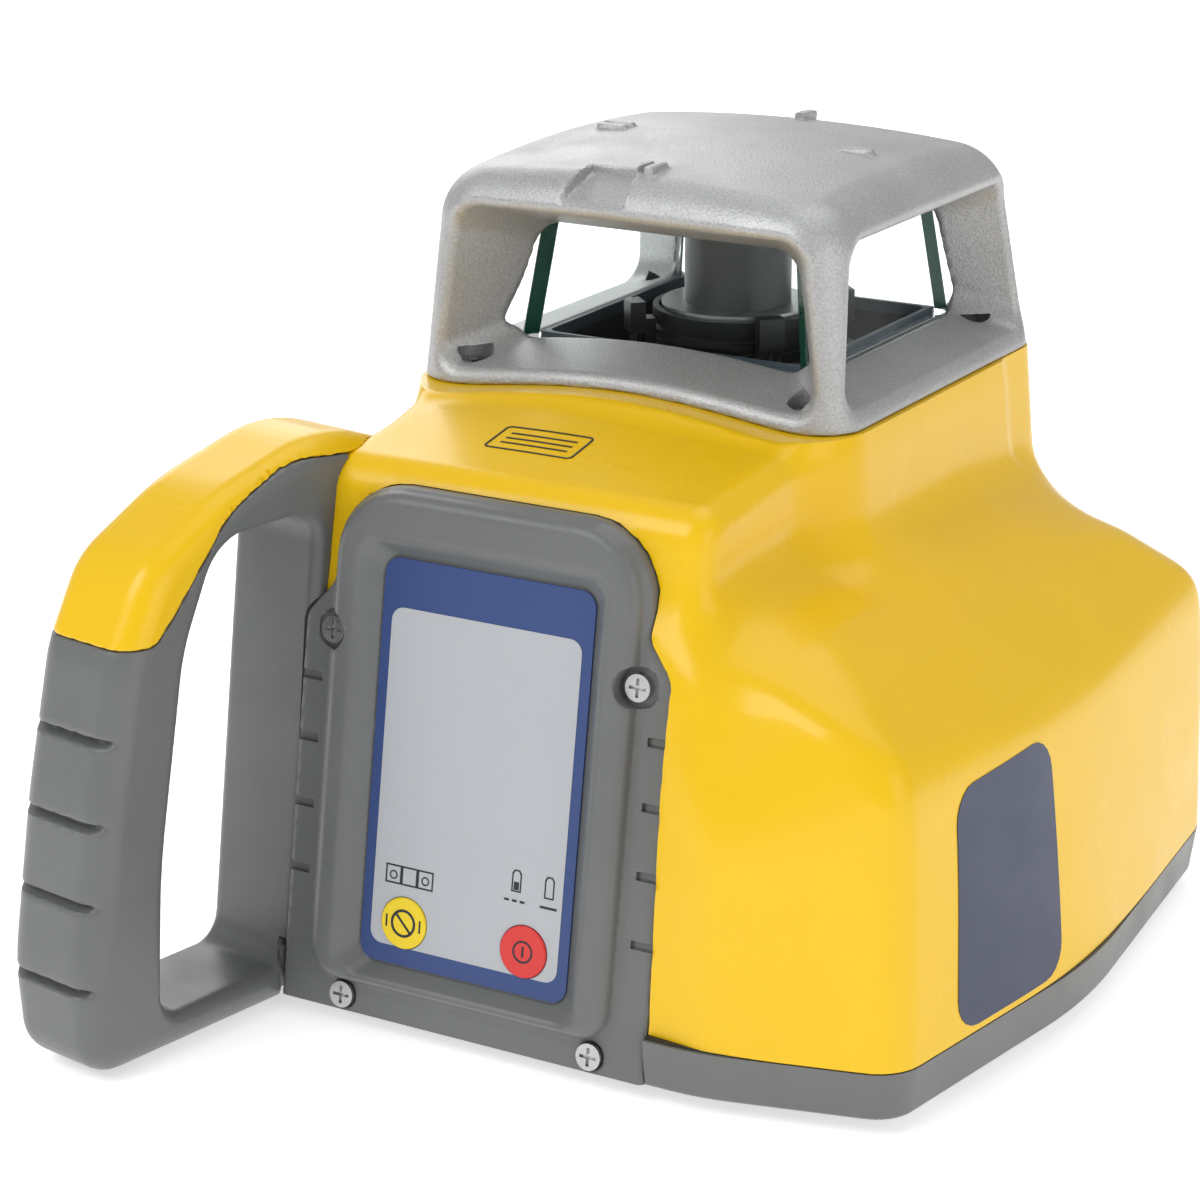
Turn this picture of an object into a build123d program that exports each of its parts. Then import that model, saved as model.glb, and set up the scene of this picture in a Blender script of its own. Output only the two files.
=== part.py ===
from build123d import *
import os
from math import cos, radians, sin, tan

# Rotating laser level, millimetres, +Z up.
# The origin is the mouth of the tripod thread, on the rotor's axis, level with the feet.
# +X is the battery side, -Y is the control panel at the front.

os.makedirs("parts", exist_ok=True)

# ---- driving dimensions -------------------------------------------------------
fit_gap = 0.3            # clearance between neighbouring covers
wall = 3.0               # moulded wall thickness
band_bottom = 4.0        # grey base band, above the feet
band_top = 16.0
seal_height = 0.4
shell_bottom = band_top + seal_height
tower_top = 139.0        # joint between yellow housing and lighthouse

tower_half_x = 59.8      # at the top of the tower
tower_front_y = -61.0
tower_back_y = 54.0
tower_foot_left_x = -78.0
tower_foot_right_x = 72.0
tower_foot_front_y = -74.0
tower_foot_back_y = 60.0
tower_corner_r = 10.0
arch_rise = 4.0          # the joint rises in the middle of the front
arch_half = 47.0

nose_half_x = 53.5
wall_inside = nose_half_x - wall
hood_slope = 7.5         # degrees
hood_edge_r = 9.0

panel_tilt = 9.0         # degrees from upright
panel_foot_y = -134.6    # bottom centre of the keypad overlay
panel_foot_z = 18.3
overlay_width = 56.5
overlay_length = 96.5
overlay_thickness = 0.6
bezel_rise = 4.0         # raised frame above the overlay
bezel_depth = 8.0        # bezel back behind the overlay
bezel_half_x = 42.5
bezel_ear_half_x = 50.0
bezel_top = 113.0        # along the panel
bezel_shoulder = 84.0
nose_front_level = -3.0  # yellow front, behind the overlay plane

fender_top_z = 108.5
fender_back_y = 57.0
cell_r = 13.1            # C cell
cell_length = 50.0
lower_cell_x, lower_cell_z = 84.0, 35.5
upper_cell_x, upper_cell_z = 81.0, 62.5
cells_back_y = fender_back_y - 14

roof_rim_z = 184.5
roof_top_z = 197.0
roof_half_x = 55.6
roof_half_y = 52.1
roof_centre_y = -7.6
glass_foot_half = 39.9   # outside of the glass, at its foot
glass_foot_z = 147.0
glass_head_half = 36.0
glass_head_z = 177.0
glass_thickness = 3.2
floor_opening_half = 38.0
shroud_half = 37.6

handle_splay = 10.0      # degrees, opening away from the nose
handle_width = 30.0
handle_root_x, handle_root_y = -47.5, -129.0

pivot_z = 110.0          # height of both levelling axes
tilt_travel = 5.0        # degrees each way
gimbal_ring_inner_r = 38.0
gimbal_ring_outer_r = 44.0
pivot_pin_r = 2.0
running_gap = 0.03       # radial, shaft in bore
spindle_r = 5.0
rotor_r = 13.5
rotor_bottom_z = 153.5
rotor_top_z = 186.0
screw_lead = 2.0         # levelling screws
front_actuator_y = -62.0
side_actuator_x, side_actuator_y = -46.0, 26.0
tripod_bore_r = 6.75     # minor diameter of the 5/8-11 thread
tripod_thread_length = 13.0

# ---- reference planes ---------------------------------------------------------
panel = Plane(
    origin=(0, panel_foot_y, panel_foot_z),
    x_dir=(1, 0, 0),
    z_dir=(0, -cos(radians(panel_tilt)), sin(radians(panel_tilt))),
)
splay = radians(handle_splay)
handle_side = Vector(cos(splay), -sin(splay), 0)
handle_mid = Plane(
    origin=Vector(handle_root_x, handle_root_y, 0) - handle_side * (handle_width / 2),
    x_dir=(-sin(splay), -cos(splay), 0),
    z_dir=-handle_side,
)


def finish(piece, name):
    """Label a finished piece and write it."""
    piece.part.label = name
    export_step(piece.part, f"parts/{name}.step")


# ---- shared outer forms -------------------------------------------------------
def front_y(level, z):
    """Y of the panel plane, raised by level, at height z."""
    lean = radians(panel_tilt)
    return panel_foot_y - level / cos(lean) + (z - panel_foot_z) * tan(lean)


def plan_form(inset, bottom, top, shrink):
    """The plan outline of the whole body, lofted upwards and drawn in by shrink."""
    corners = [
        (-54, -138), (64, -137.5), (109, -126), (121.5, -44), (111.5, fender_back_y),
        (-76, fender_back_y), (-78, -24), (-54, -84),
    ]
    radii = [9, 60, 12, 150, 13, 14, 50, 40]
    with BuildPart() as form:
        for z, amount in ((bottom, inset), (top, inset + shrink)):
            with BuildSketch(Plane.XY.offset(z)):
                with BuildLine():
                    FilletPolyline(*corners, radius=radii, close=True)
                make_face()
                if amount:
                    offset(amount=-amount, kind=Kind.ARC)
        loft()
    return form.part


def tower_form(inset, bottom, top):
    """The square column that carries the lighthouse."""
    with BuildPart() as form:
        for z, left, right, front, back, corner in (
            (shell_bottom, tower_foot_left_x, tower_foot_right_x,
             tower_foot_front_y, tower_foot_back_y, tower_corner_r + 10),
            (tower_top, -tower_half_x, tower_half_x,
             tower_front_y, tower_back_y, tower_corner_r),
        ):
            with BuildSketch(Plane.XY.offset(z)):
                with Locations(((left + right) / 2, (front + back) / 2)):
                    RectangleRounded(right - left - 2 * inset, back - front - 2 * inset, corner - inset)
        loft()
        split(bisect_by=Plane.XY.offset(bottom), keep=Keep.TOP)
        if top < tower_top:
            split(bisect_by=Plane.XY.offset(top), keep=Keep.BOTTOM)
    return form.part


def nose_form(inset, bottom):
    """The forward box behind the control panel, with its sloping hood."""
    slope = tan(radians(hood_slope))
    hood_z = tower_top - inset
    level = nose_front_level - inset
    brow_y = front_y(level, 130)
    brow_z = hood_z - (tower_front_y - brow_y) * slope
    profile = [
        (0, bottom), (0, hood_z), (tower_front_y, hood_z), (brow_y, brow_z),
        (front_y(level, bottom), bottom),
    ]
    half = nose_half_x - inset
    with BuildPart() as form:
        with BuildSketch(Plane.YZ.offset(-half)):
            with BuildLine():
                FilletPolyline(*profile, radius=[0, 0, 0, 8 - inset, 0], close=True)
            make_face()
        extrude(amount=2 * half)
        sides = form.faces().filter_by(Axis.X)
        rim = [e for e in sides.edges() if e.center().Z > bottom + 1 and e.center().Y < -5]
        fillet(rim, hood_edge_r - inset)
    return form.part


def fender_form(inset, bottom):
    """The battery housing that runs along the right side."""
    section = [
        (30, bottom), (30, fender_top_z - inset), (74, fender_top_z - 1.5 - inset),
        (92 - inset, 97 - inset), (112 - inset, 81 - inset), (123 - inset, bottom),
    ]
    side = [
        (fender_back_y - inset, bottom), (fender_back_y - 0.5 - inset, 84 - inset),
        (fender_back_y - 19 - inset, 103 - inset), (0, 112 - inset),
        (-100, fender_top_z + 5), (-122 + inset, 97 - inset), (-138 + inset, 60), (-139 + inset, bottom),
    ]
    plan = [
        (30, 90), (30, -119 + inset), (49, -121 + inset), (64 + inset, -140 + inset),
        (130, -140 + inset), (130, 90),
    ]
    with BuildPart() as form:
        with BuildSketch(Plane.XZ.offset(-90)):
            with BuildLine():
                FilletPolyline(*section, radius=[0, 0, 24, 18, 16, 0], close=True)
            make_face()
        extrude(amount=240)
        with BuildSketch(Plane.YZ.offset(20)):
            with BuildLine():
                FilletPolyline(*side, radius=[0, 12, 30, 60, 30, 20, 60, 0], close=True)
            make_face()
        extrude(amount=120, mode=Mode.INTERSECT)
        with BuildSketch(Plane.XY):
            with BuildLine():
                Polyline(*plan, close=True)
            make_face()
        extrude(amount=150, mode=Mode.INTERSECT)
    return form.part


def housing_form(inset, bottom, top):
    """The whole yellow body between two heights, shrunk by inset."""
    tower = tower_form(inset, bottom, top)
    nose = nose_form(inset, bottom)
    fender = fender_form(inset, bottom)
    plan = plan_form(inset, bottom, tower_top + 10, 4)
    with BuildPart() as form:
        add(tower)
        add(nose)
        add(fender)
        add(plan, mode=Mode.INTERSECT)
    return form.part


def bezel_outline(level, grow):
    """The control panel's outer outline, with its two side ears."""
    outline = [
        (-bezel_ear_half_x, -22), (-bezel_ear_half_x, bezel_shoulder - 4),
        (-bezel_half_x, bezel_shoulder + 4), (-bezel_half_x, bezel_top), (bezel_half_x, bezel_top),
        (bezel_half_x, bezel_shoulder + 4), (bezel_ear_half_x, bezel_shoulder - 4),
        (bezel_ear_half_x, -22),
    ]
    with BuildSketch(panel.offset(level)) as sketch:
        with BuildLine():
            FilletPolyline(*outline, radius=[0, 6, 5, 18, 18, 5, 6, 0], close=True)
        make_face()
        if grow:
            offset(amount=grow, kind=Kind.ARC)
    return sketch.sketch


# ---- base and upper housing ---------------------------------------------------
upper_bezel_screws = [(-41, 77), (41, 77)]
lower_bezel_screws = [(-32, -10.2), (36, -10.2)]
bezel_screw_spots = upper_bezel_screws + lower_bezel_screws
bezel_screw_length = 16.0
foot_spots = [(-58, 38), (96, 28), (94, -92), (-38, -84)]
foot_r = 7.0
floor_top = band_bottom + wall
base_screw_spots = [(-67, 10), (-69.4, 46.2), (48, 49.8), (106, -104), (-46.6, -100)]
boss_r = 26.0
insert_r = 15.0
insert_flange_r = 21.0
insert_screw_pcd = 36.0
leg_spots = [(-38, -40), (38, -40), (-38, 43), (38, 43)]
leg_r = 4.5

recess_outline = bezel_outline(-bezel_depth - fit_gap, fit_gap)
band_form = plan_form(1.6, band_bottom, band_top, -1.6)
seal_outer = plan_form(1.0, band_top, shell_bottom, 0.01)
seal_inner = plan_form(2.6, band_top - 1, shell_bottom + 1, 0.01)

with BuildPart() as bezel_recess:
    extrude(recess_outline, amount=bezel_depth + 25)

with BuildPart() as base_housing:
    add(band_form)
    fillet(base_housing.faces().sort_by(Axis.Z)[0].edges(), 1.4)
    with BuildSketch(Plane.XY.offset(band_top)):
        with BuildLine():
            FilletPolyline(
                (-50, -122), (64, -124), (104, -121), (117.5, -44), (108, fender_back_y - 4),
                (-72, fender_back_y - 4), (-74, -24), (-50, -84),
                radius=[6, 8, 12, 150, 10, 11, 50, 40], close=True,
            )
        make_face()
    extrude(amount=-(band_top - floor_top), mode=Mode.SUBTRACT)
    with BuildSketch(Plane.XY.offset(1)):
        Circle(boss_r)
    extrude(amount=10)
    with Locations(*[(x, y, floor_top) for x, y in base_screw_spots + leg_spots]):
        Cylinder(leg_r, band_top - floor_top - 1, align=(Align.CENTER, Align.CENTER, Align.MIN))
    with Locations((0, 0, 0)):
        Cylinder(insert_r + 0.1, 40, mode=Mode.SUBTRACT)
    with Locations(*[(x, y, band_bottom) for x, y in foot_spots]):
        Cylinder(foot_r + 0.1, 1, align=(Align.CENTER, Align.CENTER, Align.MIN), mode=Mode.SUBTRACT)
    with Locations(*[(x, y, 0) for x, y in base_screw_spots]):
        Cylinder(2.1, 60, mode=Mode.SUBTRACT)
    with Locations(*[(x, y, band_bottom) for x, y in base_screw_spots]):
        Cylinder(4, 3, align=(Align.CENTER, Align.CENTER, Align.MIN), mode=Mode.SUBTRACT)
    with PolarLocations(insert_screw_pcd / 2, 4, start_angle=45):
        Cylinder(1.6, 40, mode=Mode.SUBTRACT)
    add(bezel_recess.part, mode=Mode.SUBTRACT)
    with BuildSketch(panel):
        with Locations(*lower_bezel_screws):
            Circle(1.7)
    extrude(amount=-bezel_screw_length - 2, mode=Mode.SUBTRACT)
finish(base_housing, "base_housing")

with BuildPart() as rubber_feet:
    with Locations(*[(x, y, 0) for x, y in foot_spots]):
        Cone(foot_r - 0.8, foot_r, 0.8, align=(Align.CENTER, Align.CENTER, Align.MIN))
    with Locations(*[(x, y, 0.8) for x, y in foot_spots]):
        Cylinder(foot_r, band_bottom + 0.2, align=(Align.CENTER, Align.CENTER, Align.MIN))
finish(rubber_feet, "rubber_feet")

with BuildPart() as base_screws:
    with Locations(*[(x, y, band_bottom + 0.4) for x, y in base_screw_spots]):
        Cylinder(3.6, 2.6, align=(Align.CENTER, Align.CENTER, Align.MIN))
        Cylinder(2.0, 26, align=(Align.CENTER, Align.CENTER, Align.MIN))
        Cylinder(1.5, 1.6, align=(Align.CENTER, Align.CENTER, Align.MIN), mode=Mode.SUBTRACT)
finish(base_screws, "base_screws")

with BuildPart() as tripod_insert:
    with BuildSketch():
        Circle(insert_r)
    extrude(amount=11)
    with BuildSketch(Plane.XY.offset(11)):
        Circle(insert_flange_r)
    extrude(amount=4)
    with BuildSketch():
        Circle(tripod_bore_r)
    extrude(amount=tripod_thread_length, mode=Mode.SUBTRACT)
    with PolarLocations(insert_screw_pcd / 2, 4, start_angle=45):
        Cylinder(1.6, 40, mode=Mode.SUBTRACT)
finish(tripod_insert, "tripod_insert")

with BuildPart() as insert_screws:
    with PolarLocations(insert_screw_pcd / 2, 4, start_angle=45):
        with Locations((0, 0, 15)):
            Cylinder(2.6, 2, align=(Align.CENTER, Align.CENTER, Align.MIN))
            Cylinder(1.5, 11, align=(Align.CENTER, Align.CENTER, Align.MAX))
            Cylinder(1.1, 3.4, mode=Mode.SUBTRACT)
finish(insert_screws, "insert_screws")

with BuildPart() as housing_seal:
    add(seal_outer)
    add(seal_inner, mode=Mode.SUBTRACT)
    add(bezel_recess.part, mode=Mode.SUBTRACT)
finish(housing_seal, "housing_seal")

outer_form = housing_form(0, shell_bottom, tower_top)
inner_form = housing_form(wall, shell_bottom - 2, tower_top - wall)
door_x, door_z = 81.0, 48.5
door_width, door_height = 35.0, 58.0
hinge_y, hinge_z = fender_back_y + 2.4, 17.2
hinge_knuckle_r = 2.2
hinge_pin_r = 1.1
jack_x, jack_z = -54.0, 34.0
jack_r = 6.5
cap_hinge_y, cap_hinge_z = fender_back_y + 1.6, jack_z + 11.5
board_y = fender_back_y - 8
board_post_spots = [(x, z) for x in (-29, 28) for z in (31.5, 75)]
roof_screw_spots = [(-46, -52), (46, -52), (-46, 42), (46, 42)]
handle_screw_spots = [(-110, 28), (-103, 104), (-90, 40), (-88, 96)]

with BuildPart() as housing_posts:
    with BuildSketch(Plane.XY.offset(shell_bottom)):
        with Locations(*base_screw_spots):
            Circle(4.5)
    extrude(amount=26)
    with BuildSketch(Plane.XY.offset(tower_top - 14)):
        with Locations(*roof_screw_spots):
            Circle(5)
    extrude(amount=14)
    with Locations(*[Location((x, board_y, z), (-90, 0, 0)) for x, z in board_post_spots]):
        Cylinder(2.4, 30, align=(Align.CENTER, Align.CENTER, Align.MIN))
    add(outer_form, mode=Mode.INTERSECT)

with BuildPart() as outside_lugs:
    for start in (door_x - 17.3, door_x + 12.3):
        with BuildSketch(Plane.YZ.offset(start)):
            with Locations((hinge_y, hinge_z)):
                Circle(hinge_knuckle_r)
            with BuildLine():
                Polyline(
                    (hinge_y, hinge_z + hinge_knuckle_r), (fender_back_y - 1, hinge_z + hinge_knuckle_r),
                    (fender_back_y - 1, shell_bottom), (hinge_y, shell_bottom), close=True,
                )
            make_face()
            with Locations((hinge_y, hinge_z)):
                Circle(hinge_pin_r, mode=Mode.SUBTRACT)
        extrude(amount=5)
    with Locations(Location((jack_x, cap_hinge_y, cap_hinge_z), (0, 90, 0))):
        Cylinder(0.8, 14)
    for side in (-1, 1):
        with Locations((jack_x + side * 5.6, cap_hinge_y - 3, cap_hinge_z)):
            Box(3, 8, 3.2)

with BuildPart() as arch_form:
    with BuildSketch(Plane.XZ.offset(40)):
        with BuildLine():
            ThreePointArc((-arch_half, tower_top), (0, tower_top + arch_rise), (arch_half, tower_top))
            Line((arch_half, tower_top), (-arch_half, tower_top))
        make_face()
    extrude(amount=40)


def lighthouse_form(inset):
    """The outside of the cast top: tapering walls under a domed roof."""
    with BuildPart() as form:
        middle_y = (tower_front_y + tower_back_y) / 2
        for z, half_x, half_y, centre_y, corner in (
            (tower_top, tower_half_x, (tower_back_y - tower_front_y) / 2, middle_y, tower_corner_r),
            (roof_rim_z + 14, roof_half_x - 1.3, roof_half_y - 1.7, roof_centre_y - 1.3, 9),
        ):
            with BuildSketch(Plane.XY.offset(z)):
                with Locations((0, centre_y)):
                    RectangleRounded(2 * (half_x - inset), 2 * (half_y - inset), corner - inset / 2)
        loft()
        for plane, centre in ((Plane.XZ.offset(-80), 0), (Plane.YZ.offset(-80), roof_centre_y)):
            shoulder_z = roof_top_z - 4.2
            with BuildSketch(plane):
                with BuildLine():
                    FilletPolyline(
                        (centre - 64, 120), (centre - 64, roof_rim_z - 4.5),
                        (centre - 49, shoulder_z), (centre, roof_top_z), (centre + 49, shoulder_z),
                        (centre + 64, roof_rim_z - 4.5), (centre + 64, 120),
                        radius=[0, 0, 16, 200, 16, 0, 0], close=True,
                    )
                make_face()
                if inset:
                    offset(amount=-inset, kind=Kind.ARC)
            extrude(amount=160, mode=Mode.INTERSECT)
    return form.part


roof_form = lighthouse_form(0)
with BuildPart() as arch_lip:
    add(arch_form.part)
    add(roof_form, mode=Mode.INTERSECT)

with BuildPart() as upper_housing:
    add(outer_form)
    add(inner_form, mode=Mode.SUBTRACT)
    add(housing_posts.part)
    add(arch_lip.part)
    with BuildSketch(Plane.XY.offset(tower_top - 20)):
        with Locations((0, -3.5)):
            RectangleRounded(102, 84, 12)
    extrude(amount=40, mode=Mode.SUBTRACT)
    add(bezel_recess.part, mode=Mode.SUBTRACT)
    with BuildSketch(panel.offset(-30)):
        with Locations((0, 52)):
            RectangleRounded(60, 76, 6)
        with Locations(*upper_bezel_screws):
            Circle(1.7)
    extrude(amount=30, mode=Mode.SUBTRACT)
    with BuildSketch(Plane.XZ.offset(-fender_back_y - 8)):
        with Locations((door_x, door_z)):
            RectangleRounded(door_width - 4, door_height - 4, 10)
    extrude(amount=24, mode=Mode.SUBTRACT)
    with BuildSketch(Plane.XZ.offset(-fender_back_y + 2)):
        with Locations((door_x, door_z)):
            RectangleRounded(door_width + 2 * fit_gap, door_height + 2 * fit_gap, 12)
    extrude(amount=-10, mode=Mode.SUBTRACT)
    with Locations(*[Location((-56, y, z), (0, 90, 0)) for y, z in handle_screw_spots]):
        Cylinder(2.1, 20, mode=Mode.SUBTRACT)
    with Locations(*[Location((-wall_inside, y, z), (0, 90, 0)) for y, z in handle_screw_spots]):
        Cylinder(4, 8, align=(Align.CENTER, Align.CENTER, Align.MIN), mode=Mode.SUBTRACT)
    with Locations(*[(x, y, shell_bottom) for x, y in base_screw_spots]):
        Cylinder(2.05, 32, mode=Mode.SUBTRACT)
    with Locations(*[(x, y, tower_top) for x, y in roof_screw_spots]):
        Cylinder(1.9, 24, mode=Mode.SUBTRACT)
    with Locations(Location((jack_x, fender_back_y - 6, jack_z), (90, 0, 0))):
        Cylinder(jack_r + 0.1, 30, mode=Mode.SUBTRACT)
    add(outside_lugs.part)
finish(upper_housing, "upper_housing")

# ---- lighthouse, windows and roof ---------------------------------------------


def glass_half(z):
    """Half width of the outside of the glass pyramid at height z."""
    share = (z - glass_foot_z) / (glass_head_z - glass_foot_z)
    return glass_foot_half + share * (glass_head_half - glass_foot_half)


def window_cut(turn):
    """One flared window opening, from the glass out past the casting."""
    inner = glass_half(162) - 2
    shift = {90: -6, 270: 6}.get(turn, 0)
    with BuildPart() as cut:
        for reach, low, high, low_half, high_half, middle in (
            (inner - 6, glass_foot_z + 1.5, glass_head_z - 1, 37.5, 34.0, 0),
            (72, tower_top + 0.5, roof_rim_z + 4, 60.0, 55.0, shift),
        ):
            with BuildSketch(Plane.XZ.offset(reach)):
                with BuildLine():
                    FilletPolyline(
                        (middle - low_half, low), (middle + low_half, low),
                        (middle + high_half, high), (middle - high_half, high),
                        radius=6, close=True,
                    )
                make_face()
        loft()
    return cut.part.rotate(Axis.Z, turn)


window_cuts = [window_cut(turn) for turn in (0, 90, 180, 270)]
ridges = [(-1.9, -46.5, 90), (1.9, -46.5, 90), (0, 36, 90), (-34, -4.9, 0), (-34, -1.1, 0), (34, -3, 0)]
with BuildPart() as sight_ridges:
    with Locations(*[Location((x, y, roof_top_z - 10), (0, 0, turn)) for x, y, turn in ridges]):
        Box(8, 2.4, 20)
with BuildPart() as ridge_limit:
    for plane, centre in ((Plane.XZ.offset(-80), 0), (Plane.YZ.offset(-80), roof_centre_y)):
        with BuildSketch(plane):
            with BuildLine():
                FilletPolyline(
                    (centre - 64, 150), (centre - 64, roof_rim_z - 3), (centre - 49, roof_top_z - 2.8),
                    (centre, roof_top_z + 1.2), (centre + 49, roof_top_z - 2.8), (centre + 64, roof_rim_z - 3),
                    (centre + 64, 150), radius=[0, 0, 16, 200, 16, 0, 0], close=True,
                )
            make_face()
        extrude(amount=160, mode=Mode.INTERSECT if centre else Mode.ADD)
with BuildPart() as ridge_tops:
    add(sight_ridges.part)
    add(ridge_limit.part, mode=Mode.INTERSECT)

with BuildPart() as lighthouse:
    add(roof_form)
    with BuildSketch(Plane.XY.offset(tower_top)):
        Rectangle(2 * floor_opening_half + 0.6, 2 * floor_opening_half + 0.6)
    extrude(amount=glass_foot_z - tower_top, mode=Mode.SUBTRACT)
    for z in (glass_foot_z, glass_head_z):
        with BuildSketch(Plane.XY.offset(z)):
            RectangleRounded(2 * glass_half(z) + 0.6, 2 * glass_half(z) + 0.6, 0.3)
    loft(mode=Mode.SUBTRACT)
    with BuildSketch(Plane.XY.offset(glass_head_z)):
        RectangleRounded(2 * glass_head_half - 4, 2 * glass_head_half - 4, 12)
    extrude(amount=roof_top_z - glass_head_z - 4.5, taper=12, mode=Mode.SUBTRACT)
    with BuildSketch(Plane.XY.offset(tower_top)):
        with Locations((0, -3.5)):
            RectangleRounded(104, 98, 10)
        Rectangle(82, 82, mode=Mode.SUBTRACT)
    extrude(amount=3.6, taper=35, mode=Mode.SUBTRACT)
    with BuildSketch(Plane.XY.offset(tower_top)):
        with Locations(*roof_screw_spots):
            Circle(6)
    extrude(amount=4)
    for cut in window_cuts:
        add(cut, mode=Mode.SUBTRACT)
    add(ridge_tops.part)
    add(arch_form.part, mode=Mode.SUBTRACT)
    with BuildSketch(Plane.XZ.offset(58)):
        with BuildLine():
            Polyline(
                (-19, roof_rim_z - 2), (-16, roof_rim_z + 7.5), (-2, roof_rim_z + 7.5), (1, roof_rim_z - 2), close=True,
            )
        make_face()
    with BuildSketch(Plane.XZ.offset(46)):
        with BuildLine():
            Polyline(
                (-17, roof_top_z - 2), (-15, roof_top_z), (-3, roof_top_z), (-1, roof_top_z - 2), close=True,
            )
        make_face()
    loft(mode=Mode.SUBTRACT)
    with Locations(*[(x, y, tower_top + 1.4) for x, y in roof_screw_spots]):
        Cylinder(4.6, 6.6, align=(Align.CENTER, Align.CENTER, Align.MIN), mode=Mode.SUBTRACT)
        Cylinder(2.0, 20, mode=Mode.SUBTRACT)
finish(lighthouse, "lighthouse")

with BuildPart() as lighthouse_screws:
    with Locations(*[(x, y, tower_top + 1.4) for x, y in roof_screw_spots]):
        Cylinder(3.6, 2.6, align=(Align.CENTER, Align.CENTER, Align.MIN))
        Cylinder(1.85, 12, align=(Align.CENTER, Align.CENTER, Align.MAX))
    with Locations(*[(x, y, tower_top + 3) for x, y in roof_screw_spots]):
        Box(5, 0.9, 2, align=(Align.CENTER, Align.CENTER, Align.MIN), mode=Mode.SUBTRACT)
        Box(0.9, 5, 2, align=(Align.CENTER, Align.CENTER, Align.MIN), mode=Mode.SUBTRACT)
finish(lighthouse_screws, "lighthouse_screws")

window_turns = {"window_front": 0, "window_right": 90, "window_back": 180, "window_left": 270}
for window_name, turn in window_turns.items():
    with BuildPart() as window:
        for z in (glass_foot_z + 0.1, glass_head_z - 0.1):
            outer = glass_half(z)
            inner = outer - glass_thickness
            with BuildSketch(Plane.XY.offset(z).rotated((0, 0, turn))):
                with BuildLine():
                    Polyline(
                        (-outer + 0.05, -outer), (outer - 0.05, -outer),
                        (inner - 0.05, -inner), (-inner + 0.05, -inner), close=True,
                    )
                make_face()
        loft()
    finish(window, window_name)

gasket_half = glass_half(glass_foot_z + 1.6) - glass_thickness - 0.2
with BuildPart() as window_gasket:
    with BuildSketch(Plane.XY.offset(glass_foot_z - 1.4)):
        RectangleRounded(2 * floor_opening_half, 2 * floor_opening_half, 3)
        RectangleRounded(2 * shroud_half - 5, 2 * shroud_half - 5, 3, mode=Mode.SUBTRACT)
    extrude(amount=1.4)
    with BuildSketch(Plane.XY.offset(glass_foot_z)):
        Rectangle(2 * gasket_half, 2 * gasket_half)
        RectangleRounded(2 * shroud_half - 5, 2 * shroud_half - 5, 3, mode=Mode.SUBTRACT)
    extrude(amount=1.6)
finish(window_gasket, "window_gasket")

with BuildPart() as inner_shroud:
    with BuildSketch(Plane.XY.offset(tower_top - 8)):
        RectangleRounded(2 * shroud_half, 2 * shroud_half, 3)
        RectangleRounded(2 * shroud_half - 3, 2 * shroud_half - 3, 2, mode=Mode.SUBTRACT)
    extrude(amount=glass_foot_z - 1.4 - tower_top + 8)
finish(inner_shroud, "inner_shroud")

# ---- control panel ------------------------------------------------------------
frame_half_x = 41.0
button_r = 6.2
mode_button_spot = (-16.4, 10.4)
power_button_spot = (16.4, 10.4)
board_front_level = -3.5
ear_groove_steps = [18, 34, 50, 65]

bezel_plate = bezel_outline(-bezel_depth, 0)
with BuildPart() as panel_bezel:
    extrude(bezel_plate, amount=bezel_depth)
    with BuildSketch(panel):
        with BuildLine():
            FilletPolyline(
                (-frame_half_x, -6.5), (-frame_half_x, bezel_top - 0.5), (frame_half_x, bezel_top - 0.5),
                (frame_half_x, -6.5), radius=[8, 17, 17, 8], close=True,
            )
        make_face()
    extrude(amount=bezel_rise, taper=12)
    for level, half_x, low, high, corner in (
        (-overlay_thickness, overlay_width / 2 + 0.4, -0.4, overlay_length + 0.4, 4),
        (bezel_rise + 0.1, overlay_width / 2 + 4.5, -3.6, overlay_length + 4.5, 8),
    ):
        with BuildSketch(panel.offset(level)):
            with Locations((0, (low + high) / 2)):
                RectangleRounded(2 * half_x, high - low, corner)
    loft(mode=Mode.SUBTRACT)
    with BuildSketch(panel.offset(-bezel_depth)):
        with Locations((0, 48)):
            RectangleRounded(64, 92, 5)
    extrude(amount=bezel_depth + board_front_level + 0.4, mode=Mode.SUBTRACT)
    with BuildSketch(panel.offset(-bezel_depth)):
        with Locations(mode_button_spot, power_button_spot):
            Circle(button_r + 0.08)
    extrude(amount=bezel_depth, mode=Mode.SUBTRACT)
    with BuildSketch(panel.offset(-1)):
        with Locations(*upper_bezel_screws):
            Circle(4.8)
        with Locations(*lower_bezel_screws):
            Circle(3.4)
    extrude(amount=10, mode=Mode.SUBTRACT)
    with BuildSketch(panel.offset(-bezel_depth)):
        with Locations(*bezel_screw_spots):
            Circle(1.7)
    extrude(amount=10, mode=Mode.SUBTRACT)
    with BuildSketch(panel.offset(-0.9)):
        with Locations(*[(side * 46.5, step) for side in (-1, 1) for step in ear_groove_steps]):
            Rectangle(10, 1.2)
    extrude(amount=2, mode=Mode.SUBTRACT)
    split(bisect_by=Plane.XY.offset(band_bottom + 0.3), keep=Keep.TOP)
finish(panel_bezel, "panel_bezel")

with BuildPart() as keypad_overlay:
    with BuildSketch(panel.offset(-overlay_thickness)):
        with Locations((0, overlay_length / 2)):
            RectangleRounded(overlay_width, overlay_length, 4)
        with Locations(mode_button_spot, power_button_spot):
            Circle(button_r + 0.08, mode=Mode.SUBTRACT)
    extrude(amount=overlay_thickness)
finish(keypad_overlay, "keypad_overlay")

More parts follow.
